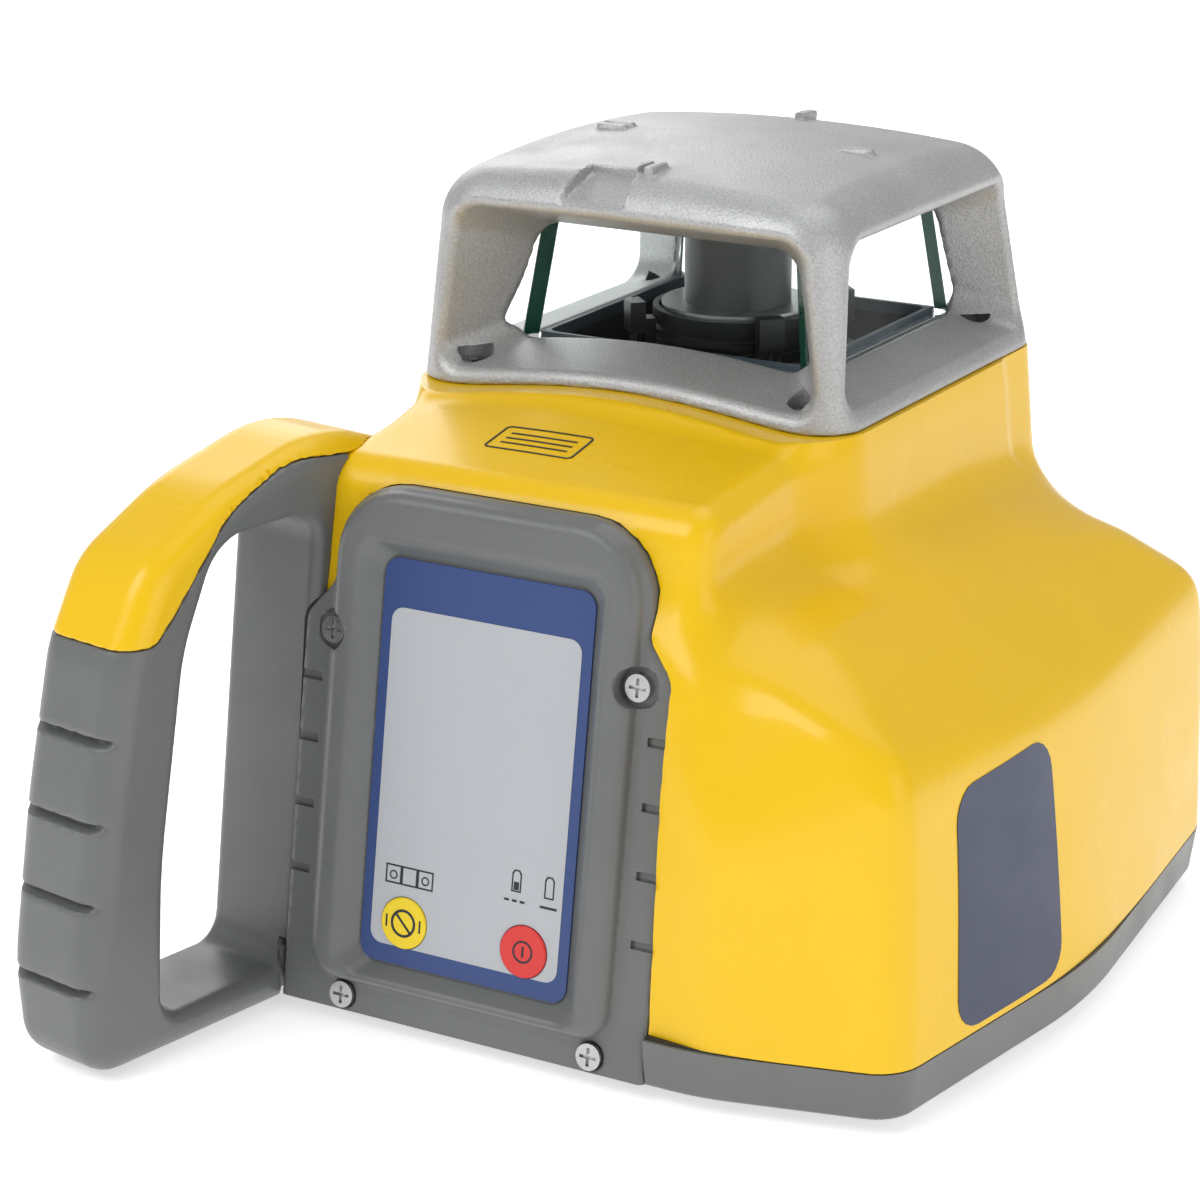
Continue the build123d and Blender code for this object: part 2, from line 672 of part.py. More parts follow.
for button_name, spot in (("mode_button", mode_button_spot), ("power_button", power_button_spot)):
    with BuildPart() as button:
        with BuildSketch(panel.offset(-2.6)):
            with Locations(spot):
                Circle(button_r)
        extrude(amount=3.2)
        fillet(button.faces().sort_by(Axis.Y)[0].edges(), 0.4)
    finish(button, button_name)

with BuildPart() as keypad_board:
    with BuildSketch(panel.offset(board_front_level - 1.6)):
        with Locations((0, 48)):
            RectangleRounded(62, 90, 4)
    extrude(amount=1.6)
    with BuildSketch(panel.offset(board_front_level)):
        with Locations(mode_button_spot, power_button_spot):
            Circle(3)
    extrude(amount=0.2)
    with BuildSketch(panel.offset(board_front_level - 4.6)):
        with Locations((0, 60)):
            Rectangle(22, 5)
        with Locations((-18, 30), (18, 34)):
            Rectangle(9, 9)
    extrude(amount=3)
finish(keypad_board, "keypad_board")

with BuildPart() as bezel_screws:
    with BuildSketch(panel.offset(-1)):
        with Locations(*bezel_screw_spots):
            Circle(3.2)
    extrude(amount=2.2)
    with BuildSketch(panel.offset(-1)):
        with Locations(*bezel_screw_spots):
            Circle(1.6)
    extrude(amount=-bezel_screw_length)
    with BuildSketch(panel.offset(0.2)):
        with Locations(*bezel_screw_spots):
            Rectangle(4.4, 0.8)
            Rectangle(0.8, 4.4)
    extrude(amount=2, mode=Mode.SUBTRACT)
finish(bezel_screws, "bezel_screws")

# ---- carrying handle ----------------------------------------------------------
grip_outline = [
    (-50, 4), (67.5, 4), (69.5, 26), (62.5, 66), (54.5, 100), (44, 119.5),
    (19, 132.2), (-15, 141), (-50, 128),
]
grip_radii = [8, 10, 60, 160, 30, 22, 60, 40, 12]
hand_opening = [(-9.5, 121.5), (22.5, 121.5), (34, 98), (43.5, 48), (46, 10.8), (4.2, 10.8)]
opening_radii = [7, 14, 50, 160, 6, 7]
seam_line = [(90, 102), (44, 102), (38, 107.5), (20, 127.2), (-2, 135.3), (-22, 133.2), (-90, 120)]
finger_grooves = [(69.2, 24), (66.8, 44), (63.4, 62.5), (59.2, 81.5)]
half_width = handle_width / 2

trim_form = housing_form(-0.1, shell_bottom - 1, tower_top)
trim_band = plan_form(-0.1, 0, shell_bottom, 0.01)
with BuildPart() as grip_form:
    with BuildSketch(handle_mid.offset(-half_width)):
        with BuildLine():
            FilletPolyline(*grip_outline, radius=grip_radii, close=True)
        make_face()
    extrude(amount=handle_width)
    fillet(grip_form.faces().filter_by(Axis((0, 0, 0), handle_side)).edges(), 9)
    with BuildSketch(handle_mid.offset(-half_width - 1)):
        with BuildLine():
            FilletPolyline(*hand_opening, radius=opening_radii, close=True)
        make_face()
    extrude(amount=handle_width + 2, mode=Mode.SUBTRACT)
    with BuildSketch(handle_mid.offset(-half_width - 1)):
        with Locations(*finger_grooves):
            Circle(1.3)
    extrude(amount=handle_width + 2, mode=Mode.SUBTRACT)
    add(trim_form, mode=Mode.SUBTRACT)
    add(trim_band, mode=Mode.SUBTRACT)
    add(bezel_recess.part, mode=Mode.SUBTRACT)

with BuildPart() as cover_zone:
    with BuildSketch(handle_mid.offset(-half_width - 2)):
        with BuildLine():
            FilletPolyline(
                *seam_line, (-90, 160), (90, 160), radius=[0, 5, 8, 30, 30, 30, 0, 0, 0], close=True,
            )
        make_face()
    extrude(amount=handle_width + 4)

with BuildPart() as handle_screw_bores:
    with Locations(*[Location((-56, y, z), (0, 90, 0)) for y, z in handle_screw_spots]):
        Cylinder(2.1, 24)

with BuildPart() as handle:
    add(grip_form.part)
    add(cover_zone.part, mode=Mode.SUBTRACT)
    add(handle_screw_bores.part, mode=Mode.SUBTRACT)
finish(handle, "handle")

with BuildPart() as handle_cover:
    add(grip_form.part)
    add(cover_zone.part, mode=Mode.INTERSECT)
    add(handle_screw_bores.part, mode=Mode.SUBTRACT)
finish(handle_cover, "handle_cover")

with BuildPart() as handle_screws:
    with Locations(*[Location((-wall_inside, y, z), (0, 90, 0)) for y, z in handle_screw_spots]):
        Cylinder(3.6, 2.4, align=(Align.CENTER, Align.CENTER, Align.MIN))
        Cylinder(2.0, 14, align=(Align.CENTER, Align.CENTER, Align.MAX))
        Cylinder(1.3, 3, mode=Mode.SUBTRACT)
finish(handle_screws, "handle_screws")


# ---- battery compartment ------------------------------------------------------
tray_r = cell_r + 2.0
cell_bore_r = cell_r + 0.3
cells_front_y = cells_back_y - 2 * cell_length
cell_axes = [(lower_cell_x, lower_cell_z), (upper_cell_x, upper_cell_z)]
catch_z = door_z + door_height / 2 - 13

with BuildPart() as battery_tray:
    with BuildSketch(Plane.XZ.offset(-cells_back_y - 2)):
        with Locations(*cell_axes):
            Circle(tray_r)
        with Locations(((lower_cell_x + upper_cell_x) / 2 - 6, (lower_cell_z + upper_cell_z) / 2)):
            Rectangle(20, 22)
    extrude(amount=2 * cell_length + 10)
    with BuildSketch(Plane.XZ.offset(-cells_back_y - 2)):
        with Locations(*cell_axes):
            Circle(cell_bore_r)
    extrude(amount=2 * cell_length + 8, mode=Mode.SUBTRACT)
finish(battery_tray, "battery_tray")

with BuildPart() as battery_cells:
    for middle in (cells_back_y - cell_length / 2, cells_back_y - 1.5 * cell_length):
        with Locations(*[Location((x, middle, z), (-90, 0, 0)) for x, z in cell_axes]):
            Cylinder(cell_r, cell_length - 2.6)
        cap_y = middle + cell_length / 2 - 1.3
        with Locations(*[Location((x, cap_y, z), (-90, 0, 0)) for x, z in cell_axes]):
            Cylinder(4.6, 1.2, align=(Align.CENTER, Align.CENTER, Align.MIN))
finish(battery_cells, "battery_cells")

with BuildPart() as battery_springs:
    for x, z in cell_axes:
        with Locations(Location((x, cells_front_y - 5.6, z), (-90, 0, 0))):
            Cone(6.5, 4.2, 6.6, align=(Align.CENTER, Align.CENTER, Align.MIN))
            Cone(5.5, 3.2, 6.6, align=(Align.CENTER, Align.CENTER, Align.MIN), mode=Mode.SUBTRACT)
finish(battery_springs, "battery_springs")

with BuildPart() as battery_door:
    with BuildSketch(Plane.XZ.offset(-fender_back_y + 1.7)):
        with Locations((door_x, door_z)):
            RectangleRounded(door_width, door_height, 11.7)
    extrude(amount=-2.6)
    with BuildSketch(Plane.XZ.offset(-fender_back_y + 1.7)):
        with Locations((door_x, door_z)):
            RectangleRounded(door_width - 6, door_height - 6, 8.5)
            RectangleRounded(door_width - 10, door_height - 10, 6.5, mode=Mode.SUBTRACT)
    extrude(amount=4)
    with BuildSketch(Plane.YZ.offset(door_x - 12)):
        with Locations((hinge_y, hinge_z)):
            Circle(hinge_knuckle_r)
        with BuildLine():
            Polyline(
                (fender_back_y + 0.4, hinge_z), (hinge_y + hinge_knuckle_r, hinge_z),
                (fender_back_y + 1.4, hinge_z + 9), (fender_back_y + 0.4, hinge_z + 9), close=True,
            )
        make_face()
        with Locations((hinge_y, hinge_z)):
            Circle(hinge_pin_r + running_gap, mode=Mode.SUBTRACT)
    extrude(amount=24)
    with Locations(Location((door_x, fender_back_y - 1.6, catch_z), (90, 0, 0))):
        Cylinder(9, 3.4, align=(Align.CENTER, Align.CENTER, Align.MIN))
    with Locations(Location((door_x, fender_back_y, catch_z), (90, 0, 0))):
        Cylinder(5.03, 20, mode=Mode.SUBTRACT)
    with Locations(Location((door_x, fender_back_y + 1.7, catch_z), (90, 0, 0))):
        Cylinder(8.3, 5, mode=Mode.SUBTRACT)
finish(battery_door, "battery_door")

with BuildPart() as door_hinge_pin:
    with Locations(Location((door_x, hinge_y, hinge_z), (0, 90, 0))):
        Cylinder(hinge_pin_r, 34.6)
finish(door_hinge_pin, "door_hinge_pin")

with BuildPart() as door_catch:
    with Locations(Location((door_x, fender_back_y - 0.6, catch_z), (-90, 0, 0))):
        Cylinder(8.0, 2.4, align=(Align.CENTER, Align.CENTER, Align.MIN))
        Cylinder(5.0, 7, align=(Align.CENTER, Align.CENTER, Align.MAX))
    with Locations((door_x, fender_back_y + 2, catch_z)):
        Box(13, 2, 2.4, mode=Mode.SUBTRACT)
    with Locations((door_x, fender_back_y - 7, catch_z)):
        Box(15, 2, 6)
    fillet(door_catch.faces().sort_by(Axis.Y)[-2:].edges().filter_by(GeomType.CIRCLE), 0.5)
finish(door_catch, "door_catch")

with BuildPart() as charge_jack:
    with Locations(Location((jack_x, fender_back_y - 15, jack_z), (-90, 0, 0))):
        Cylinder(jack_r, 15, align=(Align.CENTER, Align.CENTER, Align.MIN))
        Cylinder(jack_r + 2.5, 4, align=(Align.CENTER, Align.CENTER, Align.MIN))
    with Locations(Location((jack_x, fender_back_y - 8, jack_z), (-90, 0, 0))):
        Cylinder(3.2, 10, align=(Align.CENTER, Align.CENTER, Align.MIN), mode=Mode.SUBTRACT)
        Cylinder(1.0, 6, align=(Align.CENTER, Align.CENTER, Align.MIN))
finish(charge_jack, "charge_jack")

with BuildPart() as jack_cap:
    with Locations(Location((jack_x, fender_back_y + 0.3, jack_z), (-90, 0, 0))):
        Cylinder(8.5, 2.4, align=(Align.CENTER, Align.CENTER, Align.MIN))
        Cylinder(3.0, 3, align=(Align.CENTER, Align.CENTER, Align.MAX))
        Cylinder(1.4, 9, mode=Mode.SUBTRACT, align=(Align.CENTER, Align.CENTER, Align.MAX))
    with Locations((jack_x, cap_hinge_y, jack_z + 8.5)):
        Box(7, 1.6, 5)
    with Locations(Location((jack_x, cap_hinge_y, cap_hinge_z), (0, 90, 0))):
        Cylinder(1.6, 7)
        Cylinder(0.8 + running_gap, 8, mode=Mode.SUBTRACT)
finish(jack_cap, "jack_cap")

# ---- chassis and levelling gimbal ---------------------------------------------
plate_bottom, plate_top = 90.0, 94.0
actuator_notch_r = 9.0
post_inner_x = 46.5
ring_half_height = 5.0
motor_r = 5.5
motor_height = 20.0
nut_r = 3.5
nut_flange_r = 5.6
nut_half_height = 3.6
lead_screw_r = 1.5
arm_half_thickness = 1.5
side_nut_z = pivot_z + 12.0
side_motor_top = pivot_z - 5.0

with BuildPart() as chassis:
    with BuildSketch(Plane.XY.offset(plate_bottom)):
        with Locations((0, -2.5)):
            RectangleRounded(112, 93, 14)
        with Locations((0, -58)):
            Rectangle(26, 24)
        Circle(46, mode=Mode.SUBTRACT)
        with Locations((side_actuator_x, side_actuator_y)):
            Circle(actuator_notch_r, mode=Mode.SUBTRACT)
        with Locations((0, front_actuator_y)):
            Circle(2.5, mode=Mode.SUBTRACT)
    extrude(amount=plate_top - plate_bottom)
    for side in (-1, 1):
        with Locations((side * (post_inner_x + 3.5), 0, plate_bottom)):
            Box(7, 14, pivot_z + 6 - plate_bottom, align=(Align.CENTER, Align.CENTER, Align.MIN))
    with Locations(*[(x, y, band_top - 1) for x, y in leg_spots]):
        Cylinder(leg_r, plate_bottom - band_top + 1, align=(Align.CENTER, Align.CENTER, Align.MIN))
    with Locations(Location((0, 0, pivot_z), (0, 90, 0))):
        Cylinder(pivot_pin_r + running_gap, 120, mode=Mode.SUBTRACT)
finish(chassis, "chassis")

with BuildPart() as gimbal_ring:
    with BuildSketch(Plane.XY.offset(pivot_z - ring_half_height)):
        Circle(gimbal_ring_outer_r)
        Circle(gimbal_ring_inner_r, mode=Mode.SUBTRACT)
    extrude(amount=2 * ring_half_height)
    with BuildSketch(Plane.XY.offset(pivot_z - arm_half_thickness)):
        with Locations((0, front_actuator_y + 6)):
            Rectangle(14, 28)
        with Locations((0, front_actuator_y - 4)):
            Rectangle(2 * nut_r + 1.0, 17, mode=Mode.SUBTRACT)
        Circle(gimbal_ring_outer_r - 1, mode=Mode.SUBTRACT)
    extrude(amount=2 * arm_half_thickness)
    with BuildSketch(Plane.XY.offset(side_motor_top)):
        with Locations((side_actuator_x, side_actuator_y)):
            Circle(motor_r + 2)
        with Locations((side_actuator_x + 5, side_actuator_y - 3)):
            Circle(motor_r)
        with Locations((side_actuator_x, side_actuator_y)):
            Circle(2, mode=Mode.SUBTRACT)
        Circle(gimbal_ring_inner_r, mode=Mode.SUBTRACT)
    extrude(amount=3)
    with Locations(Location((0, 0, pivot_z), (0, 90, 0)), Location((0, 0, pivot_z), (90, 0, 0))):
        Cylinder(pivot_pin_r, 120, mode=Mode.SUBTRACT)
finish(gimbal_ring, "gimbal_ring")

with BuildPart() as pivot_pins:
    for side in (-1, 1):
        with Locations(Location((side * 46.6, 0, pivot_z), (0, 90, 0))):
            Cylinder(pivot_pin_r, 13)
        with Locations(Location((0, side * 36.5, pivot_z), (90, 0, 0))):
            Cylinder(pivot_pin_r, 15)
finish(pivot_pins, "pivot_pins")

# ---- rotor platform -----------------------------------------------------------
disc_half = 2.5
disc_r = 33.0
bearing_r = 9.0
bearing_height = 5.0
housing_tube_r = 13.0
ring_bottom, ring_top = 143.5, 152.5
coil_ring_r = 21.5
clip_reach = 27.0
clip_angles = (45, 135, 225, 315)
carrier_bottom, carrier_top = 138.0, 141.0
drive_reach = 24.0
drive_angle = 210.0
vial_r = 3.0
vial_z = pivot_z + disc_half + 3.2
vial_places = (Location((0, 20.5, vial_z), (0, 90, 0)), Location((22, 0, vial_z), (90, 0, 0)))
pulley_bottom = 97.0
pulley_top = 103.0
rotor_pulley_r = 14.0
motor_pulley_r = 5.0
belt_thickness = 1.2
arm_angle = 180 - 29.5

with BuildPart() as platform:
    with BuildSketch(Plane.XY.offset(pivot_z - disc_half)):
        Circle(disc_r)
    extrude(amount=2 * disc_half)
    for side in (-1, 1):
        with Locations((0, side * 31, pivot_z)):
            Box(12, 7, 10)
    with BuildSketch(Plane.XY.offset(pivot_z)):
        Circle(housing_tube_r)
    extrude(amount=carrier_bottom - pivot_z)
    with BuildSketch(Plane.XY.offset(side_nut_z - arm_half_thickness)):
        with Locations(Location((0, 0, 0), (0, 0, arm_angle))):
            with Locations((34, 0)):
                Rectangle(48, 13)
        with Locations((side_actuator_x - 4, side_actuator_y)):
            Rectangle(17, 2 * nut_r + 1.0, mode=Mode.SUBTRACT)
        Circle(housing_tube_r - 1, mode=Mode.SUBTRACT)
    extrude(amount=2 * arm_half_thickness)
    with BuildSketch(Plane.XY.offset(carrier_bottom)):
        Circle(coil_ring_r + 1)
        for angle in clip_angles:
            with Locations(Location((0, 0, 0), (0, 0, angle))):
                with Locations((clip_reach / 2 + 1, 0)):
                    Rectangle(clip_reach + 4, 9)
    extrude(amount=carrier_top - carrier_bottom)
    with BuildSketch(Plane.XY.offset(pivot_z - disc_half)):
        Circle(bearing_r)
    extrude(amount=60, mode=Mode.SUBTRACT)
    with Locations(Location((0, 0, pivot_z), (90, 0, 0))):
        Cylinder(pivot_pin_r + running_gap, 120, mode=Mode.SUBTRACT)
    with PolarLocations(drive_reach, 1, start_angle=drive_angle):
        Cylinder(2, 300, mode=Mode.SUBTRACT)
    for x, y in ((-7, 20.5), (7, 20.5), (22, -7), (22, 7)):
        with Locations((x, y, pivot_z + disc_half)):
            Box(5, 5, 4, align=(Align.CENTER, Align.CENTER, Align.MIN))
    with Locations(*vial_places):
        Cylinder(vial_r, 30, mode=Mode.SUBTRACT)
finish(platform, "platform")

with BuildPart() as coil_ring:
    with BuildSketch(Plane.XY.offset(carrier_top)):
        Circle(coil_ring_r - 1.2)
        Circle(bearing_r, mode=Mode.SUBTRACT)
    extrude(amount=ring_top - 1.6 - carrier_top)
    for z in (ring_bottom - 1.4, ring_bottom + 2.0, ring_bottom + 5.4):
        with BuildSketch(Plane.XY.offset(z)):
            Circle(coil_ring_r)
            Circle(bearing_r, mode=Mode.SUBTRACT)
        extrude(amount=1.8)
    with BuildSketch(Plane.XY.offset(ring_top - 1.8)):
        Circle(coil_ring_r)
        Circle(coil_ring_r - 1.6, mode=Mode.SUBTRACT)
    extrude(amount=1.8)
finish(coil_ring, "coil_ring")

with BuildPart() as clip_blocks:
    for angle in clip_angles:
        with Locations(Location((0, 0, 0), (0, 0, angle))):
            with Locations((clip_reach, 0, 147)):
                Box(4, 6.4, 8, align=(Align.CENTER, Align.CENTER, Align.MIN))
            with Locations((clip_reach - 3.4, 0, carrier_top)):
                Box(3, 4.5, 9.5, align=(Align.CENTER, Align.CENTER, Align.MIN))
finish(clip_blocks, "clip_blocks")

with BuildPart() as clip_pins:
    for angle in clip_angles:
        with Locations(Location((0, 0, 0), (0, 0, angle))):
            with Locations(*[(clip_reach + 0.4, step, carrier_top) for step in (-2.2, 0, 2.2)]):
                Cylinder(0.5, 6.0, align=(Align.CENTER, Align.CENTER, Align.MIN))
finish(clip_pins, "clip_pins")

with BuildPart() as spindle_bearings:
    for z in (pivot_z - disc_half + 0.5, carrier_top - bearing_height - 0.5):
        with BuildSketch(Plane.XY.offset(z)):
            Circle(bearing_r)
            Circle(spindle_r + running_gap, mode=Mode.SUBTRACT)
        extrude(amount=bearing_height)
finish(spindle_bearings, "spindle_bearings")

with BuildPart() as spindle:
    with BuildSketch(Plane.XY.offset(pulley_bottom - 1)):
        Circle(spindle_r)
        Circle(3, mode=Mode.SUBTRACT)
    extrude(amount=rotor_bottom_z - pulley_bottom + 1)
finish(spindle, "spindle")

with BuildPart() as rotor_flange:
    with BuildSketch(Plane.XY.offset(ring_top - 1.2)):
        Circle(coil_ring_r - 2.2)
        Circle(spindle_r, mode=Mode.SUBTRACT)
    extrude(amount=rotor_bottom_z - ring_top + 1.2)
finish(rotor_flange, "rotor_flange")

prism_half = 7.0
prism_bottom = rotor_bottom_z + 10
with BuildPart() as rotor_head:
    with BuildSketch(Plane.XY.offset(rotor_bottom_z)):
        Circle(rotor_r)
    extrude(amount=rotor_top_z - rotor_bottom_z)
    chamfer(rotor_head.faces().sort_by(Axis.Z)[-1].edges(), 0.8)
    with BuildSketch(Plane.XY.offset(rotor_bottom_z)):
        Circle(4)
    extrude(amount=15, mode=Mode.SUBTRACT)
    with BuildSketch(Plane.XY.offset(prism_bottom)):
        Rectangle(2 * prism_half + 0.4, 2 * prism_half + 0.4)
    extrude(amount=17, mode=Mode.SUBTRACT)
    with Locations(Location((0, rotor_r - 7, prism_bottom + 8), (90, 0, 0))):
        Cylinder(5.5, 20, mode=Mode.SUBTRACT)
finish(rotor_head, "rotor_head")

with BuildPart() as pentaprism:
    with BuildSketch(Plane.YZ.offset(-prism_half + 0.2)):
        with BuildLine():
            Polyline(
                (prism_half - 0.2, prism_bottom + 0.2), (prism_half - 0.2, prism_bottom + 14),
                (0, prism_bottom + 16.4), (-prism_half + 0.2, prism_bottom + 9),
                (-prism_half + 2, prism_bottom + 0.2), close=True,
            )
        make_face()
    extrude(amount=2 * prism_half - 0.4)
finish(pentaprism, "pentaprism")

with BuildPart() as beam_window:
    with Locations(Location((0, rotor_r - 3, prism_bottom + 8), (90, 0, 0))):
        Cylinder(5.4, 1.6)
finish(beam_window, "beam_window")

with BuildPart() as rotor_pulley:
    with BuildSketch(Plane.XY.offset(pulley_bottom)):
        Circle(rotor_pulley_r)
        Circle(spindle_r, mode=Mode.SUBTRACT)
    extrude(amount=pulley_top - pulley_bottom)
    with BuildSketch(Plane.XY.offset(pulley_bottom + 1)):
        Circle(rotor_pulley_r + 1)
        Circle(rotor_pulley_r - belt_thickness, mode=Mode.SUBTRACT)
    extrude(amount=pulley_top - pulley_bottom - 2, mode=Mode.SUBTRACT)
finish(rotor_pulley, "rotor_pulley")

with BuildPart() as motor_pulley:
    for bottom, top, radius in (
        (pulley_bottom, pulley_bottom + 1, motor_pulley_r),
        (pulley_bottom + 1, pulley_top - 1, motor_pulley_r - belt_thickness),
        (pulley_top - 1, pulley_top, motor_pulley_r),
        (pulley_top, pivot_z + disc_half + 1.5, 1.2),
    ):
        with BuildSketch(Plane.XY.offset(bottom)):
            with PolarLocations(drive_reach, 1, start_angle=drive_angle):
                Circle(radius)
        extrude(amount=top - bottom)
finish(motor_pulley, "motor_pulley")

belt_lean = (rotor_pulley_r - motor_pulley_r) / drive_reach
belt_rise = (1 - belt_lean**2) ** 0.5
with BuildPart() as drive_belt:
    with BuildSketch(Plane.XY.offset(pulley_bottom + 1.5).rotated((0, 0, drive_angle))):
        for grow, belt_mode in ((0.4, Mode.ADD), (0.4 - belt_thickness, Mode.SUBTRACT)):
            big, small = rotor_pulley_r + grow, motor_pulley_r + grow
            big_x, big_y = belt_lean * big, belt_rise * big
            small_x, small_y = drive_reach + belt_lean * small, belt_rise * small
            with BuildLine():
                ThreePointArc((big_x, big_y), (-big, 0), (big_x, -big_y))
                Line((big_x, -big_y), (small_x, -small_y))
                ThreePointArc((small_x, -small_y), (drive_reach + small, 0), (small_x, small_y))
                Line((small_x, small_y), (big_x, big_y))
            make_face(mode=belt_mode)
    extrude(amount=3)
finish(drive_belt, "drive_belt")

with BuildPart() as drive_motor:
    with BuildSketch(Plane.XY.offset(pivot_z + disc_half)):
        with PolarLocations(drive_reach, 1, start_angle=drive_angle):
            Circle(8.8)
    extrude(amount=16)
    with BuildSketch(Plane.XY.offset(pivot_z + disc_half)):
        with PolarLocations(drive_reach, 1, start_angle=drive_angle):
            Circle(1.6)
    extrude(amount=3, mode=Mode.SUBTRACT)
    fillet(drive_motor.faces().sort_by(Axis.Z)[-1].edges(), 1.2)
finish(drive_motor, "drive_motor")

# ---- laser module and level sensors -------------------------------------------
laser_r = 9.0
laser_bottom, laser_top = 46.0, 93.0
cage_spots = [(0, 24), (24, 0), (0, -24)]
with BuildPart() as laser_cage:
    with BuildSketch(Plane.XY.offset(76)):
        Circle(13)
        with Locations(*[Location((x / 2, y / 2, 0), (0, 0, 0 if x else 90)) for x, y in cage_spots]):
            Rectangle(24, 8)
        with Locations(*cage_spots):
            Circle(4)
        Circle(laser_r, mode=Mode.SUBTRACT)
    extrude(amount=5)
    with BuildSketch(Plane.XY.offset(76)):
        with Locations(*cage_spots):
            Circle(2.6)
    extrude(amount=pivot_z - disc_half - 76)
finish(laser_cage, "laser_cage")

with BuildPart() as laser_module:
    with BuildSketch(Plane.XY.offset(laser_bottom)):
        Circle(laser_r)
    extrude(amount=laser_top - laser_bottom)
    chamfer(laser_module.edges().filter_by(GeomType.CIRCLE), 0.8)
    with BuildSketch(Plane.XY.offset(laser_top)):
        Circle(5.5)
    extrude(amount=-6, mode=Mode.SUBTRACT)
    for z in (laser_bottom + 6, laser_bottom + 12, laser_bottom + 18):
        with BuildSketch(Plane.XY.offset(z)):
            Circle(laser_r + 1)
            Circle(laser_r - 1, mode=Mode.SUBTRACT)
        extrude(amount=2, mode=Mode.SUBTRACT)
finish(laser_module, "laser_module")

with BuildPart() as collimating_lens:
    with BuildSketch(Plane.XY.offset(laser_top - 4.5)):
        Circle(5.4)
    extrude(amount=2.5)
    fillet(collimating_lens.faces().sort_by(Axis.Z)[-1].edges(), 0.9)
finish(collimating_lens, "collimating_lens")

with BuildPart() as level_vials:
    with Locations(*vial_places):
        Cylinder(vial_r, 20)
finish(level_vials, "level_vials")

# ---- levelling actuators ------------------------------------------------------
actuators = (
    ("front", 0, front_actuator_y, plate_bottom, pivot_z, 122),
    ("side", side_actuator_x, side_actuator_y, side_motor_top, side_nut_z, side_nut_z + 10),
)
for actuator, x, y, motor_top, nut_z, screw_top in actuators:
    with BuildPart() as level_motor:
        with BuildSketch(Plane.XY.offset(motor_top - motor_height)):
            with Locations((x, y)):
                Circle(motor_r)
        extrude(amount=motor_height)
        with BuildSketch(Plane.XY.offset(motor_top)):
            with Locations((x, y)):
                Circle(1.0)
        extrude(amount=-4, mode=Mode.SUBTRACT)
    finish(level_motor, f"level_motor_{actuator}")

    with BuildPart() as lead_screw:
        with BuildSketch(Plane.XY.offset(motor_top - 3)):
            with Locations((x, y)):
                Circle(0.9)
        extrude(amount=4)
        with BuildSketch(Plane.XY.offset(motor_top + 0.2)):
            with Locations((x, y)):
                Circle(lead_screw_r)
        extrude(amount=screw_top - motor_top - 0.2)
        with BuildSketch(Plane.XY.offset(screw_top)):
            with Locations((x, y)):
                Circle(0.7)
        extrude(amount=0.8)
    finish(lead_screw, f"lead_screw_{actuator}")

    with BuildPart() as level_nut:
        with BuildSketch(Plane.XY.offset(nut_z - nut_half_height)):
            with Locations((x, y)):
                Circle(nut_flange_r)
        extrude(amount=2 * nut_half_height)
        with BuildSketch(Plane.XY.offset(nut_z - 2.1)):
            with Locations((x, y)):
                Circle(nut_flange_r + 1)
                Circle(nut_r, mode=Mode.SUBTRACT)
        extrude(amount=4.2, mode=Mode.SUBTRACT)
        with BuildSketch(Plane.XY.offset(nut_z - 10)):
            with Locations((x, y)):
                Circle(lead_screw_r + running_gap)
        extrude(amount=20, mode=Mode.SUBTRACT)
    finish(level_nut, f"level_nut_{actuator}")

# ---- electronics --------------------------------------------------------------
with BuildPart() as main_board:
    with BuildSketch(Plane.XZ.offset(-board_y)):
        with Locations((0, 52)):
            RectangleRounded(64, 56, 3)
    extrude(amount=1.6)
    with BuildSketch(Plane.XZ.offset(-board_y + 1.6)):
        with Locations((-18, 60), (14, 44)):
            Rectangle(14, 14)
        with Locations((20, 68), (-8, 34), (-26, 36)):
            Rectangle(7, 9)
    extrude(amount=2.2)
finish(main_board, "main_board")
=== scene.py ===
import bpy
import math
import numpy as np
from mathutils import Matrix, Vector
from mathutils.geometry import delaunay_2d_cdt


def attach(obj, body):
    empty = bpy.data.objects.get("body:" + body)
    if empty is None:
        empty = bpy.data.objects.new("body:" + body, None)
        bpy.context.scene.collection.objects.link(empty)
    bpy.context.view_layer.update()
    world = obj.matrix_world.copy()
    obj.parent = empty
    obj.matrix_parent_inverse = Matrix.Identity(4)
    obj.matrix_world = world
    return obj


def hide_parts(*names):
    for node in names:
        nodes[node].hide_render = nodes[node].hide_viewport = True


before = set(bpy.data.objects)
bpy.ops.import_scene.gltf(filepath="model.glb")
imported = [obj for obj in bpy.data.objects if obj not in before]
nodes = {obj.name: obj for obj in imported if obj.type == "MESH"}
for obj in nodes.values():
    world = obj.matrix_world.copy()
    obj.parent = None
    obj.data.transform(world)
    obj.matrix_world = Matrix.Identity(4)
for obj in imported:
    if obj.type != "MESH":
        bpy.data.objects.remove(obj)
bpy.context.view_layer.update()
MM = 0.001

# ---- camera, light and floor ---------------------------------------------------
scene = bpy.context.scene
scene.view_settings.view_transform = "Standard"

camera_data = bpy.data.cameras.new("camera")
camera = bpy.data.objects.new("camera", camera_data)
scene.collection.objects.link(camera)
scene.camera = camera
camera_data.sensor_width = 36
camera_data.lens = 102.98
camera_data.clip_start, camera_data.clip_end = 0.05, 20
camera.location = (0.3963, -0.7517, 0.3519)
look_at = Vector((-0.0173, -0.0400, 0.0819))
camera.rotation_euler = (look_at - camera.location).to_track_quat("-Z", "Y").to_euler()


